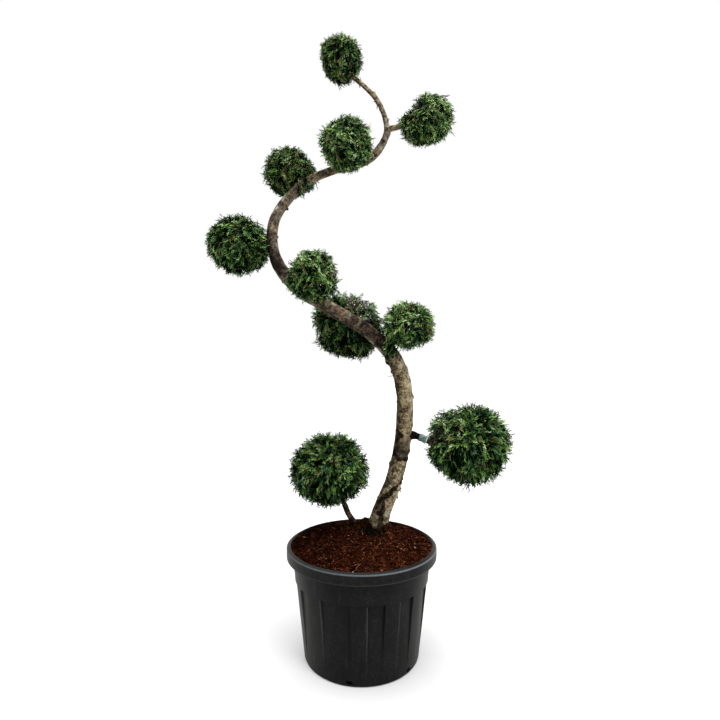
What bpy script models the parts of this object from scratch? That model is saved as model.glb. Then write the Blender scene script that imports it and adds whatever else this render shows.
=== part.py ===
"""A pompom tree: clipped balls of scale-leaved conifer on a spiral stem, in a black nursery pot.

Metres, +Z up. The origin is the centre of the pot's flat underside, and -Y is the front.
"""

import math
import random

import bmesh
import bpy
from mathutils import Matrix, Vector, noise

GAP = 0.0003  # clear space between solids that touch

# The pot: a tapered tub with a rolled rim, a plain collar and shallow upright flutes.
POT_HEIGHT = 0.4335
RIM_RADIUS = 0.2965
RIM_INNER_RADIUS = 0.2790
RIM_CREST_RADIUS = 0.2840
RIM_SKIRT_Z = 0.390
COLLAR_TOP_RADIUS = 0.2715
COLLAR_Z = 0.306
COLLAR_RADIUS = 0.2635
FLUTE_TOP_RADIUS = 0.2595
BASE_RADIUS = 0.2270
BASE_ROUNDING = 0.009
WALL = 0.012
FLOOR = 0.010
POT_SIDES = 48
# Every half turn of the wall has one wide flute, then narrow ones, with equal ribs between.
# Spans and bearings are in degrees, from the front towards +X.
WIDE_FLUTE_START = -35.0
WIDE_FLUTE_SPAN = 25.5
NARROW_FLUTES = 5
FLUTE_SPAN = 14.1
RIB_SPAN = (180.0 - WIDE_FLUTE_SPAN - NARROW_FLUTES * FLUTE_SPAN) / (NARROW_FLUTES + 1)
FLUTE_HEAD_DEPTH = 0.0065
FLUTE_FOOT_DEPTH = 0.0010
FLUTE_FOOT_Z = 0.045
DRAINS = 6
FIRST_DRAIN_BEARING = -11.0
DRAIN_SIZE = (0.025, 0.050, 0.015)
DRAIN_Z = 0.016

# The soil: mulch filled nearly to the rim, heaped a little round the stem.
SOIL_EDGE_Z = 0.4235
SOIL_CROWN_Z = 0.452
SOIL_CROWN_RADIUS = 0.128

# The stem: (x, y, z, thickness) along one turn and a half of a spiral, foot to tip.
STEM_KNOTS = (
    (0.063, 0.040, 0.4523, 0.090),
    (0.064, 0.040, 0.472, 0.087),
    (0.080, 0.040, 0.535, 0.078),
    (0.123, 0.033, 0.650, 0.0680),
    (0.154, 0.020, 0.770, 0.0655),
    (0.172, 0.006, 0.900, 0.0665),
    (0.1685, -0.018, 1.040, 0.0650),
    (0.145, -0.041, 1.129, 0.062),
    (0.110, -0.068, 1.190, 0.058),
    (0.016, -0.118, 1.2735, 0.0525),
    (-0.1185, -0.149, 1.3525, 0.0510),
    (-0.234, -0.130, 1.427, 0.0530),
    (-0.3165, -0.085, 1.521, 0.0485),
    (-0.3535, -0.020, 1.625, 0.0435),
    (-0.3555, 0.038, 1.730, 0.0440),
    (-0.314, 0.080, 1.822, 0.0420),
    (-0.239, 0.110, 1.909, 0.0385),
    (-0.121, 0.124, 1.967, 0.0355),
    (-0.010, 0.114, 1.991, 0.036),
    (0.058, 0.092, 2.025, 0.034),
    (0.101, 0.054, 2.084, 0.0265),
    (0.0945, 0.016, 2.136, 0.0210),
    (0.061, -0.020, 2.190, 0.0200),
    (0.011, -0.043, 2.230, 0.0175),
    (-0.028, -0.050, 2.2600, 0.0195),
)
STEPS_PER_SPAN = 3
# The stem is cut where it bends round: the knots at which one length ends and the next begins.
STEM_LENGTHS = (
    ("stem_foot_length", 0, 8),
    ("stem_crossing_length", 8, 14),
    ("stem_return_length", 14, 20),
    ("stem_tip_length", 20, 24),
)
SQUARE_END = 0.006  # straight part at each end of a length
LIMB_ROUNDING = 4  # bevel resolution, 12 sides

# The boughs that show: knots (x, y, z, thickness) from inside the stem to the ball.
BOUGHS = {
    "low_left_bough": (
        (0.066, 0.050, 0.4730, 0.027),
        (0.024, 0.068, 0.4680, 0.026),
        (-0.014, 0.078, 0.4730, 0.0250),
        (-0.050, 0.090, 0.5100, 0.0240),
        (-0.072, 0.098, 0.5560, 0.0230),
    ),
    "low_right_bough": (
        (0.172, 0.010, 0.8600, 0.0400),
        (0.204, 0.007, 0.8597, 0.0350),
        (0.2305, 0.005, 0.8530, 0.0245),
        (0.264, 0.003, 0.8385, 0.0235),
    ),
    "top_right_bough": (
        (0.104, 0.032, 2.0980, 0.026),
        (0.128, 0.024, 2.1000, 0.0235),
        (0.150, 0.016, 2.1010, 0.0220),
    ),
}
TIE_BAND = dict(start=0.232, end=0.260, wall=0.0016)

# The clipped balls: centre, half sizes (x, y, z), and the bough that carries each, or None for the stem.
BALLS = {
    "ball_low_left": ((-0.137, 0.104, 0.700), (0.171, 0.165, 0.159), "low_left_bough"),
    "ball_low_right": ((0.425, 0.000, 0.826), (0.172, 0.168, 0.167), "low_right_bough"),
    "ball_knee": ((0.180, -0.075, 1.2945), (0.106, 0.103, 0.096), None),
    "ball_crossing_back": ((-0.053, 0.016, 1.2960), (0.151, 0.128, 0.141), None),
    "ball_crossing_front": ((-0.1735, -0.215, 1.460), (0.096, 0.096, 0.099), None),
    "ball_far_left": ((-0.498, 0.030, 1.6305), (0.141, 0.134, 0.127), None),
    "ball_return_back": ((-0.3145, 0.190, 1.9845), (0.119, 0.118, 0.116), None),
    "ball_return_front": ((-0.062, -0.006, 2.019), (0.114, 0.113, 0.117), None),
    "ball_top_right": ((0.2575, -0.004, 2.121), (0.113, 0.110, 0.108), "top_right_bough"),
    "ball_top": ((-0.081, -0.058, 2.3295), (0.085, 0.088, 0.101), "stem"),
}
CORE_SHARE = 0.87  # of the ball's half size
CORE_LUMPS = 0.035
SPRAY_LENGTH = 0.42  # of the ball's mean half size
SPRAY_WIDTH = 0.036
SPRAY_THICKNESS = 0.010
SPRAY_LEAN = 0.55
SPRAYS_PER_METRE = 330  # of the ball's mean half size
STEM_STUB = 0.011  # radius of the stub that joins a ball to the stem
SEED = 7


# ---------------------------------------------------------------- scene and finishes


def clear_scene():
    for obj in list(bpy.data.objects):
        bpy.data.objects.remove(obj, do_unlink=True)


def new_collection(name):
    made = bpy.data.collections.new(name)
    bpy.context.scene.collection.children.link(made)
    return made


def finish(name, colour, roughness, metallic=0.0):
    material = bpy.data.materials.new(name)
    material.use_nodes = True
    shader = material.node_tree.nodes["Principled BSDF"]
    shader.inputs["Base Color"].default_value = (*colour, 1.0)
    shader.inputs["Roughness"].default_value = roughness
    shader.inputs["Metallic"].default_value = metallic
    return material


def add_object(name, data, collection, material=None):
    obj = bpy.data.objects.new(name, data)
    collection.objects.link(obj)
    if material is not None:
        obj.data.materials.append(material)
    return obj


def hide_helper(obj):
    obj.hide_render = True
    obj.display_type = "WIRE"
    return obj


def mesh_object(name, build, collection, material=None):
    """An object whose mesh is what build(bm) makes in an empty bmesh."""
    mesh = bpy.data.meshes.new(name)
    bm = bmesh.new()
    build(bm)
    bm.to_mesh(mesh)
    bm.free()
    return add_object(name, mesh, collection, material)


def evaluated_mesh(obj):
    bpy.context.view_layer.update()
    graph = bpy.context.evaluated_depsgraph_get()
    return bpy.data.meshes.new_from_object(obj.evaluated_get(graph))


# ---------------------------------------------------------------- limbs


def smooth_path(knots, steps):
    """Points (x, y, z, thickness) on a Catmull-Rom curve through the knots, steps to a span."""
    ends = [2 * Vector(knots[0]) - Vector(knots[1]), 2 * Vector(knots[-1]) - Vector(knots[-2])]
    rows = [ends[0]] + [Vector(k) for k in knots] + [ends[1]]
    points = []
    for before, start, stop, after in zip(rows, rows[1:], rows[2:], rows[3:]):
        for i in range(steps):
            t = i / steps
            slope = (stop - before) * t + (2 * before - 5 * start + 4 * stop - after) * t**2
            cubic = (3 * start - before - 3 * stop + after) * t**3
            points.append(start + 0.5 * (slope + cubic))
    points.append(rows[-2])
    return points


def moved(point, way, distance):
    return point + Vector((*(way * distance), 0.0))


def stretch(points, first, last, more):
    """The points from first to last. An end inside the limb is square to its run and moved out by more."""
    run = points[first : last + 1]
    if first > 0:
        way = (points[first + 1] - points[first - 1]).to_3d().normalized()
        run[:1] = [moved(points[first], way, -more), moved(points[first], way, SQUARE_END)]
    if last < len(points) - 1:
        way = (points[last + 1] - points[last - 1]).to_3d().normalized()
        run[-1:] = [moved(points[last], way, -SQUARE_END), moved(points[last], way, more)]
    return run


def limb_curve(name, points, collection, material=None, swell=0.0):
    """A tapering round limb through points (x, y, z, thickness), swell thicker all round."""
    curve = bpy.data.curves.new(name, "CURVE")
    curve.dimensions = "3D"
    curve.bevel_depth = 1.0
    curve.bevel_resolution = LIMB_ROUNDING
    curve.use_fill_caps = True
    spline = curve.splines.new("POLY")
    spline.points.add(len(points) - 1)
    for place, point in zip(spline.points, points):
        place.co = (*point.to_3d(), 1.0)
        place.radius = point[3] / 2 + swell
    return add_object(name, curve, collection, material)


def limb_mesh(curve_object, collection, material=None):
    """The curve object made a closed mesh, so that a Boolean can use it."""
    name = curve_object.name
    mesh = evaluated_mesh(curve_object)
    mesh.transform(curve_object.matrix_world)
    bpy.data.objects.remove(curve_object)
    bm = bmesh.new()
    bm.from_mesh(mesh)
    bmesh.ops.remove_doubles(bm, verts=bm.verts, dist=0.00001)
    bm.to_mesh(mesh)
    bm.free()
    mesh.materials.clear()
    return add_object(name, mesh, collection, material)


def cut(obj, cutter):
    modifier = obj.modifiers.new("cut_" + cutter.name, "BOOLEAN")
    modifier.operation = "DIFFERENCE"
    modifier.solver = "EXACT"
    modifier.object = cutter


def build_stem(parts, cutters, bark):
    """The stem's lengths, end to end, and round each one the space that other pieces keep out of."""
    points = smooth_path(STEM_KNOTS, STEPS_PER_SPAN)
    points[1].xy = points[0].xy  # straight up at first, so that the foot is flat on the soil
    spaces = []
    for name, first, last in STEM_LENGTHS:
        ends = (first * STEPS_PER_SPAN, last * STEPS_PER_SPAN)
        limb_curve(name, stretch(points, *ends, -GAP / 2), parts, bark)
        longer = stretch(points, *ends, GAP)
        space = limb_curve("space_round_" + name, longer, cutters, swell=GAP * 1.5)
        spaces.append((longer, hide_helper(limb_mesh(space, cutters))))
    return points, spaces


def cut_clear_of_stem(obj, centre, reach, stem_spaces):
    """Cut an object by the space round each length of the stem that it comes near."""
    for points, space in stem_spaces:
        near = nearest_on_limb(centre, points)
        if (near.to_3d() - centre).length < near[3] / 2 + reach:
            cut(obj, space)


def build_boughs(parts, bark, stem_spaces):
    """The boughs, each with its root cut to the stem's round side."""
    paths = {}
    for name, knots in BOUGHS.items():
        paths[name] = smooth_path(knots, STEPS_PER_SPAN)
        bough = limb_mesh(limb_curve(name, paths[name], parts), parts, bark)
        cut_clear_of_stem(bough, paths[name][0].to_3d(), knots[0][3], stem_spaces)
    return paths


def build_tie_band(parts, plastic, bough_points):
    """A thin sleeve round the low right bough, open at both ends."""
    rows = [p for p in smooth_path(BOUGHS["low_right_bough"], 8)]
    start = min(rows, key=lambda p: abs(p.x - TIE_BAND["start"]))
    end = min(rows, key=lambda p: abs(p.x - TIE_BAND["end"]))
    way = (end - start).to_3d()
    inner = max(start[3], end[3]) / 2 + GAP
    outer = inner + TIE_BAND["wall"]
    half = way.length / 2
    profile = ((inner, half), (outer, half), (outer, -half), (inner, -half))
    turn = way.to_track_quat("Z", "Y").to_matrix().to_4x4()
    band = turned("tie_band", profile, 24, parts, plastic, ring=True)
    band.matrix_world = Matrix.Translation((start + end).to_3d() / 2) @ turn


# ---------------------------------------------------------------- pot and soil


def turned(name, profile, sides, collection, material=None, ring=False):
    """A turned body: the (radius, z) profile spun about Z by a Screw modifier."""

    def outline(bm):
        corners = [bm.verts.new((radius, 0.0, z)) for radius, z in profile]
        for first, second in zip(corners, corners[1:]):
            bm.edges.new((first, second))
        if ring:
            bm.edges.new((corners[-1], corners[0]))

    obj = mesh_object(name, outline, collection, material)
    screw = obj.modifiers.new("spin", "SCREW")
    screw.steps = sides
    screw.render_steps = sides
    screw.use_merge_vertices = True
    screw.merge_threshold = 0.00005
    return obj


def arc(centre_radius, centre_z, radius, start, stop, steps):
    """Profile points on an arc, from start to stop degrees, 0 outwards and 90 up."""
    for i in range(steps + 1):
        angle = math.radians(start + (stop - start) * i / steps)
        yield (centre_radius + radius * math.cos(angle), centre_z + radius * math.sin(angle))


def inner_radius(z):
    """The pot's inside radius at a height: straight from the floor to the collar."""
    share = (z - FLOOR) / (RIM_SKIRT_Z - FLOOR)
    low = BASE_RADIUS - WALL
    return low + (COLLAR_TOP_RADIUS - WALL * 0.75 - low) * share


def pot_profile():
    yield (0.0, FLOOR)
    yield (inner_radius(FLOOR), FLOOR)
    yield (inner_radius(RIM_SKIRT_Z), RIM_SKIRT_Z)
    yield (RIM_INNER_RADIUS - 0.003, RIM_SKIRT_Z + 0.012)
    yield (RIM_INNER_RADIUS, POT_HEIGHT - 0.006)
    yield from arc(RIM_CREST_RADIUS, POT_HEIGHT - 0.004, 0.004, 160, 60, 3)
    yield (RIM_RADIUS - 0.0020, POT_HEIGHT - 0.0050)
    yield (RIM_RADIUS, POT_HEIGHT - 0.0090)
    yield (RIM_RADIUS, RIM_SKIRT_Z + 0.006)
    yield (RIM_RADIUS - 0.001, RIM_SKIRT_Z)
    yield (COLLAR_TOP_RADIUS, RIM_SKIRT_Z)
    yield (COLLAR_RADIUS, COLLAR_Z)
    yield (FLUTE_TOP_RADIUS, COLLAR_Z - 0.003)
    yield from arc(BASE_RADIUS - BASE_ROUNDING, BASE_ROUNDING, BASE_ROUNDING, 0, -90, 3)
    yield (0.0, 0.0)


def box_cutter(name, size, place, cutters):
    def block(bm):
        bmesh.ops.create_cube(bm, size=1.0, matrix=place @ Matrix.Diagonal((*size, 1.0)))

    return hide_helper(mesh_object(name, block, cutters))


def facing(bearing, radius, z):
    """A place on the pot's side: -Y is bearing 0, +X is bearing 90, and local -Y points out."""
    turn = Matrix.Rotation(math.radians(bearing), 4, "Z")
    return turn @ Matrix.Translation((0.0, -radius, z))


def flute_spans():
    """Each flute's two edges, in degrees round the pot."""
    for half_turn in (0, 180):
        edge = WIDE_FLUTE_START + half_turn
        for span in (WIDE_FLUTE_SPAN, *[FLUTE_SPAN] * NARROW_FLUTES):
            yield (edge, edge + span)
            edge += span + RIB_SPAN


def wall_radius(z):
    share = (z - BASE_ROUNDING) / (COLLAR_Z - 0.003 - BASE_ROUNDING)
    return BASE_RADIUS + (FLUTE_TOP_RADIUS - BASE_RADIUS) * share


def flute_cutter(name, start, stop, cutters):
    """A block from edge to edge of a flute: the outline of its depth swept round the pot."""
    head_z, outside = COLLAR_Z - 0.003, RIM_RADIUS
    outline = (
        (wall_radius(FLUTE_FOOT_Z) - FLUTE_FOOT_DEPTH, FLUTE_FOOT_Z),
        (outside, FLUTE_FOOT_Z),
        (outside, head_z),
        (wall_radius(head_z) - FLUTE_HEAD_DEPTH, head_z),
    )
    span = math.radians(stop - start)

    def block(bm):
        corners = [bm.verts.new(facing(start, radius, z).translation) for radius, z in outline]
        face = bm.faces.new(corners)
        swept = [face, *face.edges, *corners]
        steps = round((stop - start) * POT_SIDES / 360.0)
        bmesh.ops.spin(bm, geom=swept, cent=(0, 0, 0), axis=(0, 0, 1), angle=span, steps=steps)
        bmesh.ops.recalc_face_normals(bm, faces=bm.faces)

    return hide_helper(mesh_object(name, block, cutters))


def build_pot(parts, cutters, plastic):
    pot = turned("pot", list(pot_profile()), POT_SIDES, parts, plastic)
    for i, (start, stop) in enumerate(flute_spans()):
        cut(pot, flute_cutter(f"flute_{i + 1:02d}", start, stop, cutters))
    for i in range(DRAINS):
        place = facing(FIRST_DRAIN_BEARING + i * 360.0 / DRAINS, BASE_RADIUS, DRAIN_Z)
        cut(pot, box_cutter(f"drain_{i + 1}", DRAIN_SIZE, place, cutters))
    return pot


def build_soil(parts, mulch):
    floor = FLOOR + GAP
    edge = RIM_INNER_RADIUS - 0.003 - GAP * 4
    crown = SOIL_CROWN_Z - SOIL_EDGE_Z
    profile = [
        (0.0, SOIL_CROWN_Z),
        (SOIL_CROWN_RADIUS, SOIL_CROWN_Z),
        (SOIL_CROWN_RADIUS + 0.045, SOIL_EDGE_Z + crown * 0.62),
        (SOIL_CROWN_RADIUS + 0.095, SOIL_EDGE_Z + crown * 0.20),
        (edge, SOIL_EDGE_Z),
        (edge, RIM_SKIRT_Z + 0.012),
        (inner_radius(RIM_SKIRT_Z) - GAP * 4, RIM_SKIRT_Z),
        (inner_radius(floor) - GAP * 4, floor),
        (0.0, floor),
    ]
    return turned("soil", profile, 40, parts, mulch)


# ---------------------------------------------------------------- clipped balls


def spread_directions(count, chance):
    """Directions spaced evenly over a sphere in a golden spiral, each moved a little at random."""
    golden = math.pi * (3 - math.sqrt(5))
    for i in range(count):
        height = 1 - 2 * (i + 0.5) / count
        ring = math.sqrt(1 - height * height)
        way = Vector((ring * math.cos(golden * i), ring * math.sin(golden * i), height))
        shift = Vector((chance.gauss(0, 1), chance.gauss(0, 1), chance.gauss(0, 1)))
        yield (way + shift * 0.06).normalized()


def nearest_on_limb(point, points):
    """The place (x, y, z, thickness) on a limb's middle line that is nearest to a point."""
    best, least = points[0], math.inf
    for start, stop in zip(points, points[1:]):
        way = (stop - start).to_3d()
        share = (point - start.to_3d()).dot(way) / way.length_squared
        place = start.lerp(stop, min(max(share, 0.0), 1.0))
        away = (place.to_3d() - point).length
        if away < least:
            best, least = place, away
    return best


def touches_limb(root, tip, limbs, spare):
    """Whether the stretch from root to tip comes within spare of a limb's side."""
    for points in limbs:
        for i in range(7):
            place = root.lerp(tip, i / 6)
            near = nearest_on_limb(place, points)
            if (near.to_3d() - place).length < near[3] / 2 + spare * math.sin(math.pi * (i + 0.6) / 7.2):
                return True
    return False


def build_spray(name, root, tip, roll, collection):
    """A leafy spray as one flat blade of 8 faces, pointed at both ends."""
    way = tip - root
    size = Matrix.Diagonal((SPRAY_WIDTH / 2, SPRAY_THICKNESS / 2, way.length / 2, 1.0))
    turn = way.to_track_quat("Z", "Y").to_matrix().to_4x4() @ Matrix.Rotation(roll, 4, "Z")
    place = Matrix.Translation((root + tip) / 2) @ turn @ size

    def blade(bm):
        bmesh.ops.create_uvsphere(bm, u_segments=4, v_segments=2, radius=1.0, matrix=place)

    return mesh_object(name, blade, collection)


def build_core(name, centre, half_sizes, parts, foliage):
    """The dense inside of a ball: a sphere of 320 faces, a little lumpy."""

    def lumpy_sphere(bm):
        bmesh.ops.create_icosphere(bm, subdivisions=3, radius=1.0)
        for corner in bm.verts:
            lump = noise.noise(corner.co * 2.2 + centre * 9.0)
            reach = CORE_SHARE * (1 + 2 * CORE_LUMPS * lump)
            corner.co = centre + corner.co * half_sizes * reach

    return mesh_object(name, lumpy_sphere, parts, foliage)


def build_stub(foot, inner_end, radius, collection):
    """The ball's own short stem, from its foot to its inner end in the core."""
    way = inner_end - foot
    turn = way.to_track_quat("Z", "Y").to_matrix().to_4x4()
    place = Matrix.Translation((foot + inner_end) / 2) @ turn

    def taper(bm):
        bmesh.ops.create_cone(
            bm,
            cap_ends=True,
            segments=8,
            radius1=radius,
            radius2=radius * 0.6,
            depth=way.length,
            matrix=place,
        )

    return mesh_object("stub", taper, collection)


def stub_line(centre, carrier, stem_points, bough_paths):
    """A ball's stub: foot, inner end and radius. It runs on from a limb's tip, or from in the stem."""
    if carrier is None:
        return nearest_on_limb(centre, stem_points).to_3d(), centre, STEM_STUB
    path = stem_points if carrier == "stem" else bough_paths[carrier]
    tip, way = path[-1].to_3d(), (path[-1] - path[-2]).to_3d().normalized()
    return tip + way * GAP, tip + way * (centre - tip).length * 0.9, path[-1][3] / 2


def build_ball(name, centre, half_sizes, carrier, limbs, stem_spaces, parts, foliage, chance):
    centre, half_sizes = Vector(centre), Vector(half_sizes)
    stem_points, bough_paths = limbs
    foot, inner_end, stub_radius = stub_line(centre, carrier, stem_points, bough_paths)
    limb_paths = [stem_points] + list(bough_paths.values())
    core = build_core(name, centre, half_sizes, parts, foliage)
    joined = new_collection("joined")
    build_stub(foot, inner_end, stub_radius, joined)
    mean = sum(half_sizes) / 3
    for i, way in enumerate(spread_directions(round(SPRAYS_PER_METRE * mean), chance)):
        tip = centre + way * half_sizes * chance.uniform(0.955, 1.0)
        side = way.cross(Vector((chance.gauss(0, 1), chance.gauss(0, 1), chance.gauss(0, 1))))
        lean = side.normalized() * chance.uniform(0, SPRAY_LEAN) * mean
        root = tip - way * SPRAY_LENGTH * mean + lean * SPRAY_LENGTH
        if touches_limb(root, tip, limb_paths, SPRAY_WIDTH / 2 + GAP * 4):
            continue
        build_spray(f"spray_{i + 1}", root, tip, chance.uniform(0, math.pi), joined)
    join = core.modifiers.new("join", "BOOLEAN")
    join.operation = "UNION"
    join.operand_type = "COLLECTION"
    join.collection = joined
    join.solver = "MANIFOLD"
    if carrier is None:
        cut_clear_of_stem(core, centre, max(half_sizes) * 1.05, stem_spaces)
    fused = evaluated_mesh(core)
    core.modifiers.clear()
    core.data = fused
    for obj in list(joined.objects):
        bpy.data.objects.remove(obj, do_unlink=True)
    bpy.data.collections.remove(joined)
    return core


# ---------------------------------------------------------------- the whole tree


def shade_round(obj):
    if obj.type == "MESH":
        obj.data.shade_smooth()
        obj.data.set_sharp_from_angle(angle=math.radians(35))


def build():
    clear_scene()
    chance = random.Random(SEED)
    parts, cutters = new_collection("pompom_tree"), new_collection("cutters")
    bark = finish("bark", (0.36, 0.27, 0.18), 0.85)
    foliage = finish("foliage", (0.05, 0.11, 0.03), 0.7)
    plastic = finish("pot_plastic", (0.030, 0.032, 0.032), 0.45)
    mulch = finish("mulch", (0.13, 0.05, 0.025), 0.95)
    tape = finish("tie_band", (0.35, 0.60, 0.47), 0.5)
    shade_round(build_pot(parts, cutters, plastic))
    shade_round(build_soil(parts, mulch))
    stem_points, stem_spaces = build_stem(parts, cutters, bark)
    bough_paths = build_boughs(parts, bark, stem_spaces)
    build_tie_band(parts, tape, bough_paths["low_right_bough"])
    limbs = (stem_points, bough_paths)
    for name, (centre, half_sizes, carrier) in BALLS.items():
        build_ball(name, centre, half_sizes, carrier, limbs, stem_spaces, parts, foliage, chance)


build()
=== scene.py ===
"""The looks of a pompom tree: clipped conifer balls on a spiral stem, in a black nursery pot."""

import math
import random

import bpy
import numpy as np
from mathutils import Matrix, Vector, noise


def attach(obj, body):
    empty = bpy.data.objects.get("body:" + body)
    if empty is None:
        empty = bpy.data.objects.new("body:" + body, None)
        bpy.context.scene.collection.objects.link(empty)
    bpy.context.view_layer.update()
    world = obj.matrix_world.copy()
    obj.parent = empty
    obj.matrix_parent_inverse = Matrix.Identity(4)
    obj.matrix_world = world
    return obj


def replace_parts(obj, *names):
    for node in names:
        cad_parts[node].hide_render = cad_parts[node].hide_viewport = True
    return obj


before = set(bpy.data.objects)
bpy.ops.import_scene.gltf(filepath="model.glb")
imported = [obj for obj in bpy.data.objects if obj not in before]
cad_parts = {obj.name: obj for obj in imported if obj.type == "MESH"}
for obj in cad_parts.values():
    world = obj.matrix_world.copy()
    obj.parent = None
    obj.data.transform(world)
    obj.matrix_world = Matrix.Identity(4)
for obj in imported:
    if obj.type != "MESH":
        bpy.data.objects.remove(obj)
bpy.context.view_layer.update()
SEED = 7
noise.seed_set(SEED)  # noise_vector() starts from the clock otherwise
UP = Vector((0.0, 0.0, 1.0))

# The pot, as in the solids.
POT_HEIGHT = 0.4335
RIM_RADIUS = 0.2965
RIM_INNER_RADIUS = 0.2790
RIM_CREST_RADIUS = 0.2840
RIM_SKIRT_Z = 0.390
COLLAR_TOP_RADIUS = 0.2715
COLLAR_Z = 0.306
COLLAR_RADIUS = 0.2635
FLUTE_TOP_RADIUS = 0.2595
BASE_RADIUS = 0.2270
BASE_ROUNDING = 0.009
WALL = 0.012
FLOOR = 0.010
# Every half turn of the wall has one wide flute, then narrow ones, with equal ribs between.
# Spans and bearings are in degrees, from the front towards +X.
WIDE_FLUTE_START = -35.0
WIDE_FLUTE_SPAN = 25.5
NARROW_FLUTES = 5
FLUTE_SPAN = 14.1
RIB_SPAN = (180.0 - WIDE_FLUTE_SPAN - NARROW_FLUTES * FLUTE_SPAN) / (NARROW_FLUTES + 1)
FLUTE_EDGE = 0.4  # degrees, over which a flute's side falls
COLUMN_SPAN = 1.25  # degrees, from one upright row of points to the next
FLUTE_DEPTHS = (0.0075, 0.0004)  # at the head and at the foot
FLUTE_FOOT_Z = 0.040
DRAINS = 6
FIRST_DRAIN_BEARING = -11.0
DRAIN_SIZE = (0.025, 0.050, 0.015)
DRAIN_Z = 0.016
WALL_ROWS = 26  # rings of points up the fluted wall

# The mulch.
SOIL_EDGE_Z = 0.4235
MULCH_CROWN_Z = 0.466
MULCH_RADIUS = RIM_INNER_RADIUS - 0.0030
MULCH_BANK = 0.0045  # how much higher the mulch lies against the wall
# Heaps: x, y, reach and height.
MULCH_HEAPS = (
    (0.000, 0.150, 0.100, 0.016),
    (0.020, 0.085, 0.075, 0.012),
    (0.060, 0.045, 0.110, 0.034),
    (0.022, 0.026, 0.042, 0.020),
    (0.100, 0.010, 0.042, 0.012),
    (-0.004, 0.060, 0.044, 0.010),
)
# Mossy clods before the stem's foot, darkened partly as painted shade: x, y, reach and how much of them
# is moss.
MOSS_AND_SHADE_SPOTS = ((0.052, 0.000, 0.052, 1.0), (0.010, 0.026, 0.044, 0.5))
# Bark chips: how many, how far out they are strewn, and how near to the stem's foot.
CHIPS = 9000
CHIPS_RADIUS = 0.2745
CHIPS_CLEAR = 0.042
# Kinds of chip: size, twist and share.
CHIP_KINDS = (
    ((0.0110, 0.0040, 0.0014), 0.3, 0.28),
    ((0.0075, 0.0040, 0.0026), -0.5, 0.22),
    ((0.0180, 0.0017, 0.0010), 0.6, 0.32),
    ((0.0260, 0.0008, 0.0007), 0.2, 0.18),
)
# Tones of chips: colour, shine, share on plain mulch and share on mossy clods.
CHIP_TONES = {
    "black": ((0.0018, 0.0008, 0.0006), 0.0, 0.25, 0.60),
    "dark": ((0.0075, 0.0020, 0.0011), 0.0, 0.29, 0.08),
    "red": ((0.0210, 0.0048, 0.0028), 0.0, 0.24, 0.02),
    "rust": ((0.0520, 0.0160, 0.0065), 0.02, 0.160, 0.0),
    "tan": ((0.1150, 0.0500, 0.0220), 0.03, 0.055, 0.0),
    "pale": ((0.2800, 0.1900, 0.1200), 0.05, 0.005, 0.0),
    "moss": ((0.0050, 0.0085, 0.0036), 0.0, 0.0, 0.30),
}

# The stem: (x, y, z, thickness) from foot to tip.
STEM_KNOTS = (
    (0.063, 0.040, 0.4523, 0.090),
    (0.064, 0.040, 0.472, 0.087),
    (0.080, 0.040, 0.535, 0.078),
    (0.123, 0.033, 0.650, 0.0680),
    (0.154, 0.020, 0.770, 0.0655),
    (0.172, 0.006, 0.900, 0.0665),
    (0.1685, -0.018, 1.040, 0.0650),
    (0.145, -0.041, 1.129, 0.062),
    (0.110, -0.068, 1.190, 0.058),
    (0.016, -0.118, 1.2735, 0.0525),
    (-0.1185, -0.149, 1.3525, 0.0510),
    (-0.234, -0.130, 1.427, 0.0530),
    (-0.3165, -0.085, 1.521, 0.0485),
    (-0.3535, -0.020, 1.625, 0.0435),
    (-0.3555, 0.038, 1.730, 0.0440),
    (-0.314, 0.080, 1.822, 0.0420),
    (-0.239, 0.110, 1.909, 0.0385),
    (-0.121, 0.124, 1.967, 0.0355),
    (-0.010, 0.114, 1.991, 0.036),
    (0.058, 0.092, 2.025, 0.034),
    (0.101, 0.054, 2.084, 0.0265),
    (0.0945, 0.016, 2.136, 0.0210),
    (0.061, -0.020, 2.190, 0.0200),
    (0.011, -0.043, 2.230, 0.0175),
    (-0.028, -0.050, 2.2600, 0.0195),
)
STEM_NODES = ("stem_foot_length", "stem_crossing_length", "stem_return_length", "stem_tip_length")
BOUGHS = {
    "low_left_bough": (
        (0.066, 0.050, 0.4730, 0.027),
        (0.024, 0.068, 0.4680, 0.026),
        (-0.014, 0.078, 0.4730, 0.0250),
        (-0.050, 0.090, 0.5100, 0.0240),
        (-0.072, 0.098, 0.5560, 0.0230),
    ),
    "low_right_bough": (
        (0.172, 0.010, 0.8600, 0.0400),
        (0.204, 0.007, 0.8597, 0.0350),
        (0.2305, 0.005, 0.8530, 0.0245),
        (0.264, 0.003, 0.8385, 0.0235),
    ),
    "top_right_bough": (
        (0.104, 0.032, 2.0980, 0.026),
        (0.128, 0.024, 2.1000, 0.0235),
        (0.150, 0.016, 2.1010, 0.0220),
    ),
}
TIE_BAND = dict(start=0.232, end=0.260, wall=0.0016)

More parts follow.
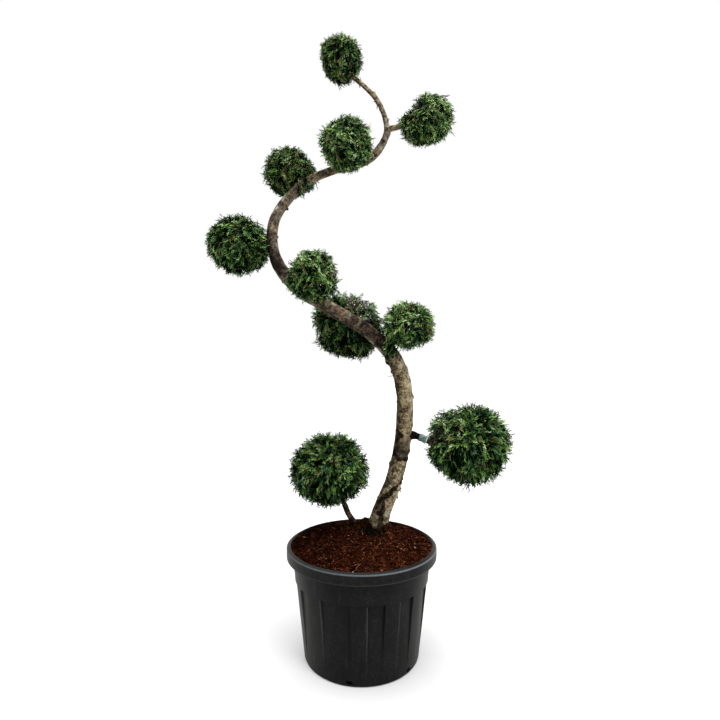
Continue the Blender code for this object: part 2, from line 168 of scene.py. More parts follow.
# The clipped balls. Each has a centre and half sizes, and what carries it where that isn't the stem
# beside it. Then come:
# light: how much brighter than the rest it is, and browned: its share of browned sprays;
# hours: how far the clipped outline stands at some hours of the clock, 12 on top, from the front;
# thin: where it lets light through: direction, how wide (degrees to each side), the share of its
#   twigs that are thin there, and how many small sprays each of those has (with 0 it is left out);
# strays: tips that stand out of the outline: direction, and reach in shares of the half sizes;
# drapes: tufts that hang over the stem in front of it: root, tip and how many sprays.
BALLS = {
    "ball_low_left": dict(
        centre=(-0.137, 0.104, 0.7),
        half=(0.171, 0.165, 0.159),
        carrier="low_left_bough",
        light=-0.08,
        hours={1: 1.03, 2: 1.03, 3: 1.07, 4: 1.05, 5: 0.98},
        thin=(((0.8, -0.2, -0.55), 38, 0.45, 4),),
        strays=(
            ((-1.0, -0.2, -0.1), 1.03), ((-0.12, -0.2, -1.0), 1.05), ((0.02, -0.2, -1.0), 1.05),
            ((0.75, -0.2, -0.68), 1.05),
        ),
    ),
    "ball_low_right": dict(
        centre=(0.425, 0.0, 0.826),
        half=(0.172, 0.168, 0.167),
        carrier="low_right_bough",
        light=-0.04,
        hours={0: 0.98, 1: 1.04, 2: 1.04, 5: 1.06, 6: 1.03, 7: 0.96, 9: 1.03, 10: 1.12, 11: 1.06},
        thin=(((-0.75, 0.0, 0.62), 46, 0.82, 4), ((0.6, 0.0, -0.8), 34, 0.4, 4)),
        strays=(
            ((1.0, -0.1, -0.06), 1.06), ((1.0, -0.15, 0.02), 1.04), ((-0.22, -0.3, -1.0), 1.05),
            ((0.05, -0.3, -1.0), 1.05),
        ),
        drapes=(
            ((0.29, -0.03, 0.8), (0.257, -0.03, 0.812), 6),
            ((0.29, -0.03, 0.786), (0.259, -0.03, 0.789), 4),
            ((0.292, -0.02, 0.852), (0.266, -0.02, 0.838), 4),
        ),
    ),
    "ball_knee": dict(
        centre=(0.18, -0.075, 1.2945),
        half=(0.106, 0.103, 0.096),
        light=0.15,
        hours={
            1: 1.02, 2: 1.04, 3: 1.06, 4: 1.1, 5: 1.02,
            6: 1.12, 7: 1.14, 8: 1.16, 9: 1.04, 11: 1.05,
        },
        thin=(((-0.3, 0.2, -0.85), 50, 0.5, 3),),
        drapes=(
            ((0.128, -0.112, 1.24), (0.108, -0.124, 1.205), 10),
            ((0.112, -0.112, 1.225), (0.086, -0.124, 1.2), 7),
            ((0.14, -0.1, 1.215), (0.116, -0.112, 1.182), 8),
            ((0.12, -0.112, 1.25), (0.094, -0.126, 1.226), 7),
            ((0.118, -0.112, 1.215), (0.1, -0.118, 1.178), 8),
        ),
    ),
    "ball_crossing_back": dict(
        centre=(-0.053, 0.016, 1.296),
        half=(0.151, 0.128, 0.141),
        light=-0.14,
        browned=0.14,
        hours={0: 1.08, 1: 1.06, 2: 1.04, 5: 1.1, 6: 0.96, 10: 1.08, 11: 1.12},
        thin=(((0.55, -0.2, 0.82), 52, 0.92, 5), ((-1.0, 0.0, -0.3), 34, 0.45, 4)),
        strays=(((-1.0, -0.3, 0.25), 1.05), ((0.45, -0.3, -0.95), 1.05)),
    ),
    "ball_crossing_front": dict(
        centre=(-0.1735, -0.215, 1.46),
        half=(0.096, 0.096, 0.099),
        light=0.09,
        hours={1: 1.08, 2: 1.02, 3: 1.07, 4: 1.1, 8: 1.1, 10: 0.95},
        thin=(((0.8, -0.2, -0.2), 55, 0.72, 4),),
        strays=(((-0.85, -0.2, 0.45), 1.06),),
        drapes=(
            ((-0.172, -0.215, 1.425), (-0.205, -0.196, 1.392), 7),
            ((-0.15, -0.205, 1.415), (-0.15, -0.19, 1.38), 7),
        ),
    ),
    "ball_far_left": dict(
        centre=(-0.498, 0.03, 1.6305),
        half=(0.141, 0.134, 0.127),
        light=-0.02,
        hours={
            0: 0.98, 1: 0.89, 2: 0.95, 4: 0.95, 5: 0.99,
            6: 1.06, 8: 0.96, 9: 0.93, 10: 0.95, 11: 1.02,
        },
        drapes=(
            ((-0.408, -0.05, 1.645), (-0.374, -0.066, 1.622), 6),
            ((-0.406, -0.05, 1.615), (-0.37, -0.074, 1.59), 7),
            ((-0.402, -0.05, 1.585), (-0.366, -0.084, 1.562), 6),
        ),
    ),
    "ball_return_back": dict(
        centre=(-0.3145, 0.19, 1.9845),
        half=(0.119, 0.118, 0.116),
        light=-0.05,
        browned=0.22,
        hours={
            0: 0.97, 2: 0.96, 3: 1.06, 4: 1.1, 5: 1.05,
            6: 1.05, 8: 1.05, 9: 0.98, 10: 0.96, 11: 0.97,
        },
        thin=(((0.7, 0.0, 0.6), 36, 0.45, 4),),
        drapes=(
            ((-0.24, 0.098, 1.93), (-0.228, 0.08, 1.88), 8),
            ((-0.262, 0.09, 1.905), (-0.25, 0.076, 1.852), 7),
            ((-0.225, 0.095, 1.9), (-0.206, 0.082, 1.868), 6),
        ),
    ),
    "ball_return_front": dict(
        centre=(-0.062, -0.006, 2.019),
        half=(0.114, 0.113, 0.117),
        light=0.18,
        hours={0: 0.98, 2: 1.04, 3: 0.96, 6: 0.98, 7: 0.95, 8: 0.9, 9: 1.02, 10: 1.02, 11: 0.96},
        strays=(((0.15, -0.1, 1.0), 1.08),),
    ),
    "ball_top_right": dict(
        centre=(0.2575, -0.004, 2.121),
        half=(0.113, 0.11, 0.108),
        carrier="top_right_bough",
        light=0.18,
        browned=0.17,
        hours={
            0: 0.88, 1: 0.92, 2: 1.05, 3: 1.05, 5: 0.96, 6: 0.96,
            7: 1.08, 8: 1.1, 9: 1.03, 10: 0.74, 11: 0.9,
        },
        thin=(((-0.72, -0.62, 0.3), 26, 1.0, 0), ((-0.7, 0.0, 0.72), 38, 0.85, 3)),
    ),
    "ball_top": dict(
        centre=(-0.081, -0.058, 2.3295),
        half=(0.085, 0.088, 0.101),
        carrier="stem",
        light=0.06,
        browned=0.12,
        hours={
            0: 0.91, 1: 0.94, 2: 1.02, 3: 1.09, 4: 1.06,
            5: 1.06, 7: 0.96, 9: 0.97, 10: 1.08, 11: 0.98,
        },
    ),
}

MAIN_TWIGS = 9
TWIG_AREA = 0.00085  # of the ball's surface, for each leafy twig
OUTER_SPRAYS = 8  # on each leafy twig
INNER_SPRAYS = 2
TUFT_LENGTH = 0.026  # of the small sprays on thin twigs
STALK_WIDTH = 0.0034
BLADE_WIDTH = 0.0032
LUMPS = 0.045  # how far the clipping wanders from a true ball


# ---------------------------------------------------------------- working by hand


def deselect():
    if bpy.context.object and bpy.context.object.mode != "OBJECT":
        bpy.ops.object.mode_set(mode="OBJECT")
    bpy.ops.object.select_all(action="DESELECT")


def take(obj):
    """Select one object alone and make it the active one."""
    deselect()
    obj.select_set(True)
    bpy.context.view_layer.objects.active = obj
    return obj


def named(name):
    """Name the object that was just added."""
    obj = bpy.context.object
    obj.name = name
    obj.data.name = name
    return obj


def settle(obj):
    """Put the object's place, turn and size into its mesh."""
    take(obj)
    bpy.ops.object.transform_apply(location=True, rotation=True, scale=True)
    return obj


def join(objects, name):
    take(objects[0])
    for obj in objects[1:]:
        obj.select_set(True)
    bpy.ops.object.join()
    return named(name)


def edit(obj, select="DESELECT"):
    take(obj)
    bpy.ops.object.mode_set(mode="EDIT")
    bpy.ops.mesh.select_mode(type="VERT")
    bpy.ops.mesh.select_all(action=select)


def done_editing():
    """Turn every face outwards and leave edit mode."""
    bpy.ops.mesh.select_all(action="SELECT")
    bpy.ops.mesh.normals_make_consistent(inside=False)
    bpy.ops.object.mode_set(mode="OBJECT")


def edit_where(obj, wanted):
    """Edit an object with just those vertices selected for which wanted(place) holds."""
    edit(obj)
    bpy.ops.object.mode_set(mode="OBJECT")
    for vert in obj.data.vertices:
        vert.select = bool(wanted(vert.co))
    bpy.ops.object.mode_set(mode="EDIT")


def merge_doubles(obj, distance=0.00002):
    edit(obj, "SELECT")
    bpy.ops.mesh.remove_doubles(threshold=distance)
    done_editing()


def cone(way, **shape):
    """Add a cone or pyramid that stands along a direction."""
    deselect()
    bpy.ops.mesh.primitive_cone_add(rotation=way.to_track_quat("Z", "Y").to_euler(), **shape)
    return bpy.context.object


def shade(obj, degrees=None):
    take(obj)
    if degrees is None:
        bpy.ops.object.shade_smooth()
    else:
        bpy.ops.object.shade_smooth_by_angle(angle=math.radians(degrees))


def apply_all(obj):
    take(obj)
    for modifier in list(obj.modifiers):
        bpy.ops.object.modifier_apply(modifier=modifier.name)


def points_of(mesh):
    flat = np.empty(len(mesh.vertices) * 3)
    mesh.vertices.foreach_get("co", flat)
    return flat.reshape(-1, 3)


def set_points(mesh, points):
    mesh.vertices.foreach_set("co", np.asarray(points, dtype=np.float32).ravel())
    mesh.update()


def paint(mesh, name, values):
    """Store a number at each point, for the finishes."""
    values = np.asarray(values, dtype=np.float32)
    mesh.attributes.new(name, "FLOAT", "POINT").data.foreach_set("value", values)


def dress(obj, material_slot, *materials):
    """Give a piece its finishes and let it ride on the tree. The material slot is not used."""
    for material in materials:
        obj.data.materials.append(material)
    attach(obj, "root")
    return obj


# ---------------------------------------------------------------- finishes


class Signal:
    """A value that changes over a surface. Arithmetic on it adds Math nodes to its finish."""

    def __init__(self, finish, socket):
        self.finish = finish
        self.socket = socket

    def _math(self, operation, *values):
        return self.finish.node("ShaderNodeMath", {"operation": operation}, *values)

    def __add__(self, other):
        return self._math("ADD", self, other)

    __radd__ = __add__

    def __sub__(self, other):
        return self._math("SUBTRACT", self, other)

    def __rsub__(self, other):
        return self._math("SUBTRACT", other, self)

    def __mul__(self, other):
        return self._math("MULTIPLY", self, other)

    def between(self, low, high):
        """0 below low, 1 above high, and a smooth step from one to the other."""
        settings = {"interpolation_type": "SMOOTHSTEP"}
        return self.finish.node("ShaderNodeMapRange", settings, self, low, high)


class Finish:
    """A Principled material that is built up from signals."""

    def __init__(self, name, colour, roughness, specular=0.5):
        self.material = bpy.data.materials.new(name)
        self.material.use_nodes = True
        self.tree = self.material.node_tree
        self.shader = self.tree.nodes["Principled BSDF"]
        self.shader.inputs["Base Color"].default_value = (*colour, 1.0)
        self.shader.inputs["Roughness"].default_value = roughness
        self.shader.inputs["Specular IOR Level"].default_value = specular

    def plug(self, socket, value):
        if isinstance(value, Signal):
            self.tree.links.new(value.socket, socket)
        elif isinstance(value, tuple) and len(value) == 3 and socket.type == "RGBA":
            socket.default_value = (*value, 1.0)
        else:
            socket.default_value = value

    def node(self, kind, settings=None, *values, output=0, **sockets):
        """Add a node: its settings first, then its sockets in order or by name."""
        node = self.tree.nodes.new(kind)
        for key, value in (settings or {}).items():
            if key == "stops":
                self.set_stops(node.color_ramp, value)
            else:
                setattr(node, key, value)
        for socket, value in zip(node.inputs, values):
            self.plug(socket, value)
        for key, value in sockets.items():
            self.plug(node.inputs[key.replace("_", " ")], value)
        return Signal(self, node.outputs[output])

    @staticmethod
    def set_stops(ramp, stops):
        while len(ramp.elements) < len(stops):
            ramp.elements.new(0.5)
        for element, (place, colour) in zip(ramp.elements, stops):
            element.position = place
            element.color = (*colour, 1.0)

    def number(self, attribute):
        """What paint() stored on the mesh."""
        return self.node("ShaderNodeAttribute", {"attribute_name": attribute}, output=2)

    def grain(self, scale, detail=4.0, rough=0.55, stretch=(1, 1, 1)):
        """Cloudy noise in object coordinates, stretched."""
        here = self.node("ShaderNodeTexCoord", output=3)
        place = self.node("ShaderNodeVectorMath", {"operation": "MULTIPLY"}, here, stretch)
        settings = dict(Scale=scale, Detail=detail, Roughness=rough)
        return self.node("ShaderNodeTexNoise", {}, Vector=place, **settings)

    def cells(self, scale):
        here = self.node("ShaderNodeTexCoord", output=3)
        return self.node("ShaderNodeTexVoronoi", {}, Vector=here, Scale=scale)

    def ramp(self, signal, *stops):
        return self.node("ShaderNodeValToRGB", {"stops": stops}, signal)

    def mix(self, share, first, second):
        mixer = self.tree.nodes.new("ShaderNodeMix")
        mixer.data_type = "RGBA"
        self.plug(mixer.inputs[0], share)
        self.plug(mixer.inputs[6], first)
        self.plug(mixer.inputs[7], second)
        return Signal(self, mixer.outputs[2])

    def bump(self, height, distance, strength):
        bump = self.node("ShaderNodeBump", {}, Strength=strength, Distance=distance, Height=height)
        self.plug(self.shader.inputs["Normal"], bump)

    def colour(self, value):
        self.plug(self.shader.inputs["Base Color"], value)

    def roughness(self, value):
        self.plug(self.shader.inputs["Roughness"], value)


def pot_plastic():
    """Dark moulded plastic with a fine even grain and dried runs, with painted highlights on the rim
    and the flutes' edges, painted shadow along the flutes, and dust that is partly a painted sheen at
    the sides.
    """
    finish = Finish("nursery_plastic", (0.006, 0.006, 0.006), 0.42, specular=0.08)
    grain = finish.grain(170, rough=0.7, stretch=(1, 1, 0.6))
    runs = finish.grain(70, detail=3, stretch=(1, 1, 0.10))
    shades = (
        (0.38, (0.0010, 0.0011, 0.0011)),
        (0.50, (0.0024, 0.0025, 0.0025)),
        (0.64, (0.0082, 0.0085, 0.0081)),
    )
    look = finish.ramp(grain * 0.7 + finish.grain(9) * 0.3, *shades)
    look = finish.mix(runs.between(0.60, 0.72) * 0.30, look, (0.018, 0.019, 0.019))
    # Dust to the left and the right, partly a painted sheen on the pot's sides.
    look = finish.mix(finish.number("dust") * (0.25 + grain), look, (0.020, 0.0195, 0.0145))
    # Painted shadow: near black along each flute's right side.
    look = finish.mix(finish.number("grime") * 0.9, look, (0.0006, 0.0006, 0.0006))
    # Painted highlight on the rim's outer corner and lower edge, and on each flute's left edge.
    look = finish.mix(finish.number("wear") * (0.45 + grain), look, (0.095, 0.108, 0.118))
    finish.colour(look)
    finish.roughness(0.34 + grain * 0.24)
    finish.bump(grain * 0.6 + finish.grain(420, detail=2) * 0.4, 0.0006, 0.35)
    return finish.material


def mulch_bed():
    """Moist shredded bark seen between the chips."""
    finish = Finish("mulch_bed", (0.01, 0.003, 0.002), 0.95, specular=0.0)
    crumbs = finish.cells(190)
    stops = (
        (0.20, (0.0015, 0.0006, 0.0005)),
        (0.45, (0.0080, 0.0020, 0.0010)),
        (0.70, (0.0260, 0.0062, 0.0024)),
        (0.90, (0.0550, 0.0170, 0.0060)),
    )
    bed = finish.ramp(crumbs * 0.55 + finish.grain(24, detail=5) * 0.65, *stops)
    # Near black on the mossy clods: moss, and partly painted shade.
    finish.colour(finish.mix(finish.number("moss"), bed, (0.0020, 0.0026, 0.0016)))
    finish.bump(crumbs, 0.003, 0.8)
    return finish.material


# How stained, rusty, pale and weathered bark looks, from its hollows to its ridges; the pale ramp also
# colours painted highlights.
STAINED = (
    (0.52, (0.0014, 0.0009, 0.0007)),
    (0.62, (0.0080, 0.0052, 0.0034)),
    (0.74, (0.046, 0.032, 0.020)),
)
RUSTY = ((0.50, (0.008, 0.0028, 0.0017)), (0.60, (0.034, 0.013, 0.0078)), (0.74, (0.105, 0.050, 0.031)))
PALED_AND_HIGHLIT = ((0.50, (0.090, 0.076, 0.055)), (0.60, (0.200, 0.176, 0.135)), (0.74, (0.34, 0.308, 0.250)))
GREYED = (
    (0.50, (0.0050, 0.0039, 0.0029)),
    (0.60, (0.025, 0.020, 0.0145)),
    (0.70, (0.080, 0.067, 0.049)),
)


def bark(name, light, middle, dark):
    """Thin scaly bark, finely mottled, with stained, rusty and pale places from the mesh; some pale
    places are painted highlights.
    """
    finish = Finish(name, middle, 0.9, specular=0.04)
    mottle = finish.grain(130, detail=5, rough=0.7, stretch=(1, 1, 1.25))
    scales = finish.grain(62, rough=0.6)
    tone = mottle * 0.62 + scales * 0.34 + finish.grain(20, detail=3) * 0.30
    tone = tone + finish.number("relief") * 0.05 - finish.number("shade") * 0.09
    stops = (
        (0.48, tuple(0.3 * c for c in dark)),
        (0.55, dark),
        (0.615, middle),
        (0.69, light),
        (0.80, tuple(1.35 * c for c in light)),
    )
    ragged = (scales - 0.5) * 1.5 + (mottle - 0.5) * 0.9
    greyed = (finish.number("weathered") + (scales - 0.5) * 0.6).between(0.10, 0.90)
    paled_and_highlit = (finish.number("pale") + ragged * 0.5).between(0.30, 0.80)
    rusty = (finish.number("rust") + ragged).between(0.35, 0.75)
    stained = (finish.number("stain") + ragged).between(0.35, 0.75)
    look = finish.mix(greyed, finish.ramp(tone, *stops), finish.ramp(tone, *GREYED))
    # Paler bark; some pale marks are painted highlights.
    look = finish.mix(paled_and_highlit * 0.8, look, finish.ramp(tone, *PALED_AND_HIGHLIT))
    look = finish.mix(rusty * 0.85, look, finish.ramp(tone, *RUSTY))
    finish.colour(finish.mix(stained, look, finish.ramp(tone, *STAINED)))
    finish.roughness(0.95 - scales * 0.2)
    finish.bump(scales * 0.5 + mottle * 0.5, 0.0018, 0.9)
    return finish.material


def plain(name, colour, roughness=0.6, specular=0.3):
    return Finish(name, colour, roughness, specular).material


def tying_tape():
    """Soft tube-like tape, creased, with a pale flared edge that is partly a painted highlight."""
    finish = Finish("tying_tape", (0.12, 0.20, 0.15), 0.42, specular=0.40)
    creases = finish.grain(160, stretch=(0.6, 1, 1))
    shades = ((0.35, (0.025, 0.055, 0.042)), (0.55, (0.065, 0.115, 0.090)), (0.75, (0.20, 0.28, 0.24)))
    finish.colour(finish.mix(finish.number("flare"), finish.ramp(creases, *shades), (0.40, 0.50, 0.46)))
    finish.bump(creases, 0.0012, 0.7)
    return finish.material


LEAF_TONES = {
    "shade": (0.0010, 0.0026, 0.0010),
    "deep": (0.0070, 0.0210, 0.0065),
    "blue": (0.0240, 0.0580, 0.0300),
    "middle": (0.0360, 0.0920, 0.0170),
    "fresh": (0.0850, 0.1800, 0.0320),
    "lime": (0.1700, 0.2850, 0.0680),
    "pale": (0.3000, 0.3900, 0.2000),
    "olive": (0.0950, 0.1080, 0.0300),
    "russet": (0.0720, 0.0480, 0.0240),
    "twig": (0.0600, 0.0400, 0.0220),
}
TONE_NAMES = list(LEAF_TONES)
# From the darkest sprays to the brightest: share of the sprays, then the tones of a spray's own
# twig, of its lower and of its upper branchlets. The upper ones are lighter, as fresh growth and as
# painted light.
SPRAY_DRESS = (
    (0.16, ("shade", "shade", "shade")),
    (0.17, ("shade", "shade", "deep")),
    (0.16, ("shade", "deep", "blue")),
    (0.18, ("deep", "deep", "middle")),
    (0.19, ("deep", "middle", "fresh")),
    (0.10, ("middle", "fresh", "lime")),
    (0.04, ("middle", "lime", "pale")),
)
BROWNED_DRESS = (("twig", "olive", "fresh"), ("twig", "olive", "olive"), ("russet", "russet", "olive"))
BROWNED_SHARE = 0.08


# ---------------------------------------------------------------- the pot


def inner_radius(z):
    """The pot's inside radius at a height: straight from the floor to the collar."""
    share = (z - FLOOR) / (RIM_SKIRT_Z - FLOOR)
    low = BASE_RADIUS - WALL
    return low + (COLLAR_TOP_RADIUS - WALL * 0.75 - low) * share


def arc(centre_radius, centre_z, radius, start, stop, steps):
    """Points (radius, z) on an arc from start to stop degrees, 0 outwards and 90 up."""
    for i in range(steps + 1):
        angle = math.radians(start + (stop - start) * i / steps)
        yield (centre_radius + radius * math.cos(angle), centre_z + radius * math.sin(angle))


def flute_wall_radius(z):
    share = (z - BASE_ROUNDING) / (COLLAR_Z - 0.003 - BASE_ROUNDING)
    return BASE_RADIUS + (FLUTE_TOP_RADIUS - BASE_RADIUS) * share


def pot_outline():
    """From the underside's edge, up the outside, over the rim and down the inside to the floor."""
    yield from arc(BASE_RADIUS - BASE_ROUNDING, BASE_ROUNDING, BASE_ROUNDING, -90, 0, 5)
    for i in range(1, WALL_ROWS + 1):
        z = BASE_ROUNDING + (COLLAR_Z - 0.0065 - BASE_ROUNDING) * i / WALL_ROWS
        yield (flute_wall_radius(z), z)
    yield (FLUTE_TOP_RADIUS, COLLAR_Z - 0.0035)
    yield from arc(COLLAR_RADIUS - 0.0018, COLLAR_Z - 0.0005, 0.0018, -70, 0, 3)
    yield (COLLAR_TOP_RADIUS - 0.004, RIM_SKIRT_Z - 0.040)
    yield (COLLAR_TOP_RADIUS - 0.0002, RIM_SKIRT_Z - 0.002)
    yield (COLLAR_TOP_RADIUS + 0.0012, RIM_SKIRT_Z)
    yield (RIM_RADIUS - 0.0045, RIM_SKIRT_Z)
    yield from arc(RIM_RADIUS - 0.0022, RIM_SKIRT_Z + 0.0018, 0.0018, -90, 0, 3)
    yield (RIM_RADIUS, RIM_SKIRT_Z + 0.006)
    yield (RIM_RADIUS + 0.0002, RIM_SKIRT_Z + 0.018)
    yield (RIM_RADIUS, POT_HEIGHT - 0.0100)
    yield from arc(RIM_RADIUS - 0.0026, POT_HEIGHT - 0.0082, 0.0026, 5, 70, 4)
    yield (RIM_RADIUS - 0.0055, POT_HEIGHT - 0.0036)
    yield from arc(RIM_CREST_RADIUS, POT_HEIGHT - 0.004, 0.004, 60, 165, 5)
    yield (RIM_INNER_RADIUS, POT_HEIGHT - 0.008)
    yield (RIM_INNER_RADIUS - 0.003, RIM_SKIRT_Z + 0.012)
    yield (inner_radius(RIM_SKIRT_Z), RIM_SKIRT_Z)
    yield (inner_radius(FLOOR), FLOOR)


def bearing_of(place):
    """Degrees round the pot from the front, towards +X."""
    return math.degrees(math.atan2(place.x, -place.y))


def pot_columns():
    """Bearings of the pot's upright rows of points, with one on each side of a flute's edge."""
    for half_turn in (0, 180):
        edge = WIDE_FLUTE_START + half_turn
        for span in (WIDE_FLUTE_SPAN, *[FLUTE_SPAN] * NARROW_FLUTES):
            first, last = edge + FLUTE_EDGE, edge + span - FLUTE_EDGE
            yield from np.linspace(first, last, round(span / COLUMN_SPAN))
            yield from np.linspace(edge + span, edge + span + RIB_SPAN, round(RIB_SPAN / COLUMN_SPAN))
            edge += span + RIB_SPAN


def flute_sides(bearing):
    """Degrees from the left side of the flute at or after a bearing, and degrees to its right side."""
    gone = (bearing - WIDE_FLUTE_START + RIB_SPAN / 2) % 180 - RIB_SPAN / 2
    span = WIDE_FLUTE_SPAN
    if gone > WIDE_FLUTE_SPAN + RIB_SPAN / 2:
        gone = (gone - WIDE_FLUTE_SPAN - RIB_SPAN / 2) % (FLUTE_SPAN + RIB_SPAN) - RIB_SPAN / 2
        span = FLUTE_SPAN
    return gone, span - gone


def in_flute(bearing):
    return min(flute_sides(bearing)) > FLUTE_EDGE / 2


def extrude_ring(scale, lift):
    """Extrude the selected ring and give the new one its size and height."""
    bpy.ops.mesh.extrude_region_move()
    bpy.ops.transform.resize(value=(scale, scale, 1.0), center_override=(0.0, 0.0, 0.0))
    bpy.ops.transform.translate(value=(0.0, 0.0, lift))


def model_pot(plastic):
    outline = list(pot_outline())
    columns = list(pot_columns())
    bpy.ops.mesh.primitive_circle_add(vertices=len(columns), radius=1.0, fill_type="NOTHING")
    pot = named("nursery_pot")
    mesh = pot.data
    for vert, bearing in zip(mesh.vertices, columns):
        angle = math.radians(bearing)
        vert.co = Vector((math.sin(angle), -math.cos(angle), 0.0)) * outline[0][0]
    edit(pot, "SELECT")
    for (radius, z), (next_radius, next_z) in zip(outline, outline[1:]):
        extrude_ring(next_radius / radius, next_z - z)
    bpy.ops.mesh.edge_face_add()
    edit_where(pot, lambda co: co.z < 0.00001)
    bpy.ops.mesh.edge_face_add()
    done_editing()
    press_flutes(mesh)
    cut_drains(pot)
    paint_light_and_dust(mesh)
    shade(pot, 28)
    # Painted shadow: faces under the rim and under the collar take a near-black matt finish.
    for face in mesh.polygons:
        radius, z = face.center.xy.length, face.center.z
        under_rim = abs(z - RIM_SKIRT_Z) < 0.0035 and radius < RIM_RADIUS - 0.004
        under_collar = abs(z - COLLAR_Z + 0.0025) < 0.0016 and radius < COLLAR_RADIUS
        face.material_index = 1 if under_rim or under_collar else 0
    shadow = plain("plastic_shade", (0.0008, 0.0008, 0.0008), 0.9, 0.0)
    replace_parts(dress(pot, "pot_plastic", plastic, shadow), "pot")


def press_flutes(mesh):
    """Push the flutes' floors in, deep at the head and fading towards the foot."""
    head_z = COLLAR_Z - 0.0042
    for vert in mesh.vertices:
        z, radius = vert.co.z, vert.co.xy.length
        if not FLUTE_FOOT_Z < z < head_z or radius < flute_wall_radius(z) - 0.003:
            continue
        share = (z - FLUTE_FOOT_Z) / (head_z - FLUTE_FOOT_Z)
        depth = FLUTE_DEPTHS[1] + (FLUTE_DEPTHS[0] - FLUTE_DEPTHS[1]) * share
        if in_flute(bearing_of(vert.co)):
            vert.co.xy *= (radius - depth * min(share * 12, 1.0)) / radius


def cut_drains(pot):
    """Oblong holes low in the wall."""
    width, through, tall = DRAIN_SIZE
    for i in range(DRAINS):
        angle = math.radians(FIRST_DRAIN_BEARING + i * 360.0 / DRAINS)
        spot = (BASE_RADIUS * math.sin(angle), -BASE_RADIUS * math.cos(angle), DRAIN_Z)
        size, turn = (width, tall, through), (math.pi / 2, 0, angle)
        deselect()
        bpy.ops.mesh.primitive_cylinder_add(
            vertices=24, radius=0.5, depth=1.0, location=spot, rotation=turn, scale=size
        )
        drill = settle(named("drill"))
        cut = pot.modifiers.new("drain", "BOOLEAN")
        cut.operation = "DIFFERENCE"
        cut.object = drill
        apply_all(pot)
        bpy.data.objects.remove(drill)


def paint_light_and_dust(mesh):
    """Painted highlights: paler on the rim's outer corner and its lower edge, more so to the right, and
    on one side of each flute.
    Painted shadow darkens each flute's other side, and dust that is partly a painted sheen lies to the
    left and the right."""
    wear, grime, dust = (np.zeros(len(mesh.vertices)) for _ in range(3))
    for i, vert in enumerate(mesh.vertices):
        radius, z = vert.co.xy.length, vert.co.z
        bearing = bearing_of(vert.co)
        sideways = math.sin(math.radians(bearing))
        # The painted highlight on the rim is stronger to the right.
        lit = 0.75 + 0.45 * sideways
        # Dust on the sides to the left and the right, partly a painted sheen.
        dust[i] = max(0.0, (abs(sideways) - 0.70) / 0.30)
        # Painted highlights: the rim's outer corner, its lower edge and each flute's left edge.
        if radius > RIM_RADIUS - 0.0032 and z > POT_HEIGHT - 0.0088:
            wear[i] = 0.60 * lit
        elif radius > RIM_RADIUS - 0.006 and abs(z - RIM_SKIRT_Z) < 0.003:
            wear[i] = 0.16 * lit
        elif FLUTE_FOOT_Z < z < COLLAR_Z - 0.006 and radius > flute_wall_radius(z) - 0.012:
            from_left, from_right = flute_sides(bearing)
            share = min(1.0, (z - FLUTE_FOOT_Z) / 0.16)
            if abs(from_left) < 0.2:
                wear[i] = 0.22 * share
            # Painted shadow beside each flute's right wall.
            if 0 < from_right < COLUMN_SPAN * 1.8:
                grime[i] = share
    paint(mesh, "wear", wear)
    paint(mesh, "grime", grime)
    paint(mesh, "dust", dust)


# ---------------------------------------------------------------- the mulch


def grid(name, across, along):
    """A grid whose own X and Y run from 0 to 1, to be bent into shape."""
    deselect()
    bpy.ops.mesh.primitive_grid_add(
        x_subdivisions=across, y_subdivisions=along, size=1.0, location=(0.5, 0.5, 0)
    )
    return settle(named(name))


def mulch_height(radius, bearing_point):
    """The mulch's top: flat round the stem, falling to the pot's wall, with clods."""
    fall = min(max((radius - 0.06) / (RIM_INNER_RADIUS - 0.06), 0.0), 1.0)
    smooth = SOIL_EDGE_Z + (MULCH_CROWN_Z - SOIL_EDGE_Z) * (1 - fall * fall * (3 - 2 * fall))
    clods = 0.0050 * noise.noise(bearing_point * 26) + 0.0032 * noise.noise(bearing_point * 75)
    crumbs = 0.0024 * noise.noise(bearing_point * 210)
    bank = MULCH_BANK * fall**4
    for x, y, reach, height in MULCH_HEAPS:
        share = max(0.0, 1 - math.hypot(bearing_point.x - x, bearing_point.y - y) / reach)
        bank += height * share * share * (3 - 2 * share)
    return smooth + clods * (1 - 0.6 * fall) + crumbs + bank


def model_mulch(bed):
    mulch = grid("mulch", 220, 110)
    shaped = []
    for turn, out, _ in points_of(mulch.data):
        radius, angle = MULCH_RADIUS * max(out, 0.0001), 2 * math.pi * turn
        x, y = radius * math.cos(angle), radius * math.sin(angle)
        shaped.append((x, y, mulch_height(radius, Vector((x, y, 0.0)))))
    set_points(mulch.data, shaped)
    merge_doubles(mulch, 0.0006)
    places = points_of(mulch.data)[:, :2]
    moss = [
        share * smooth_fall(np.linalg.norm(places - np.array((x, y)), axis=1), reach * 1.25)
        for x, y, reach, share in MOSS_AND_SHADE_SPOTS
    ]
    paint(mulch.data, "moss", np.max(moss, axis=0))
    radius = float(np.linalg.norm(places, axis=1).max())
    edit_where(mulch, lambda co: co.xy.length > radius - 0.0004)
    for wall_z, lift in ((RIM_SKIRT_Z, 0.0), (FLOOR, 0.0005)):
        next_radius = inner_radius(wall_z) - 0.0012
        extrude_ring(next_radius / radius, 0.0)
        bpy.ops.transform.resize(value=(1.0, 1.0, 0.0), center_override=(0.0, 0.0, wall_z + lift))
        radius = next_radius
    bpy.ops.mesh.edge_face_add()
    done_editing()
    shade(mulch, 50)
    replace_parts(dress(mulch, "mulch", bed), "soil")


def model_chip(size, twist):
    """A splinter of bark: a box of 12 faces pulled to a ragged taper."""
    deselect()
    bpy.ops.mesh.primitive_cube_add(size=1.0, scale=size)
    chip = settle(named("chip"))
    for vert in chip.data.vertices:
        end = 1 if vert.co.x > 0 else -1
        vert.co.y *= 0.75 - 0.45 * end * twist
        vert.co.z += vert.co.y * end * twist
        vert.co.x += vert.co.y * 0.8 * twist
    return chip


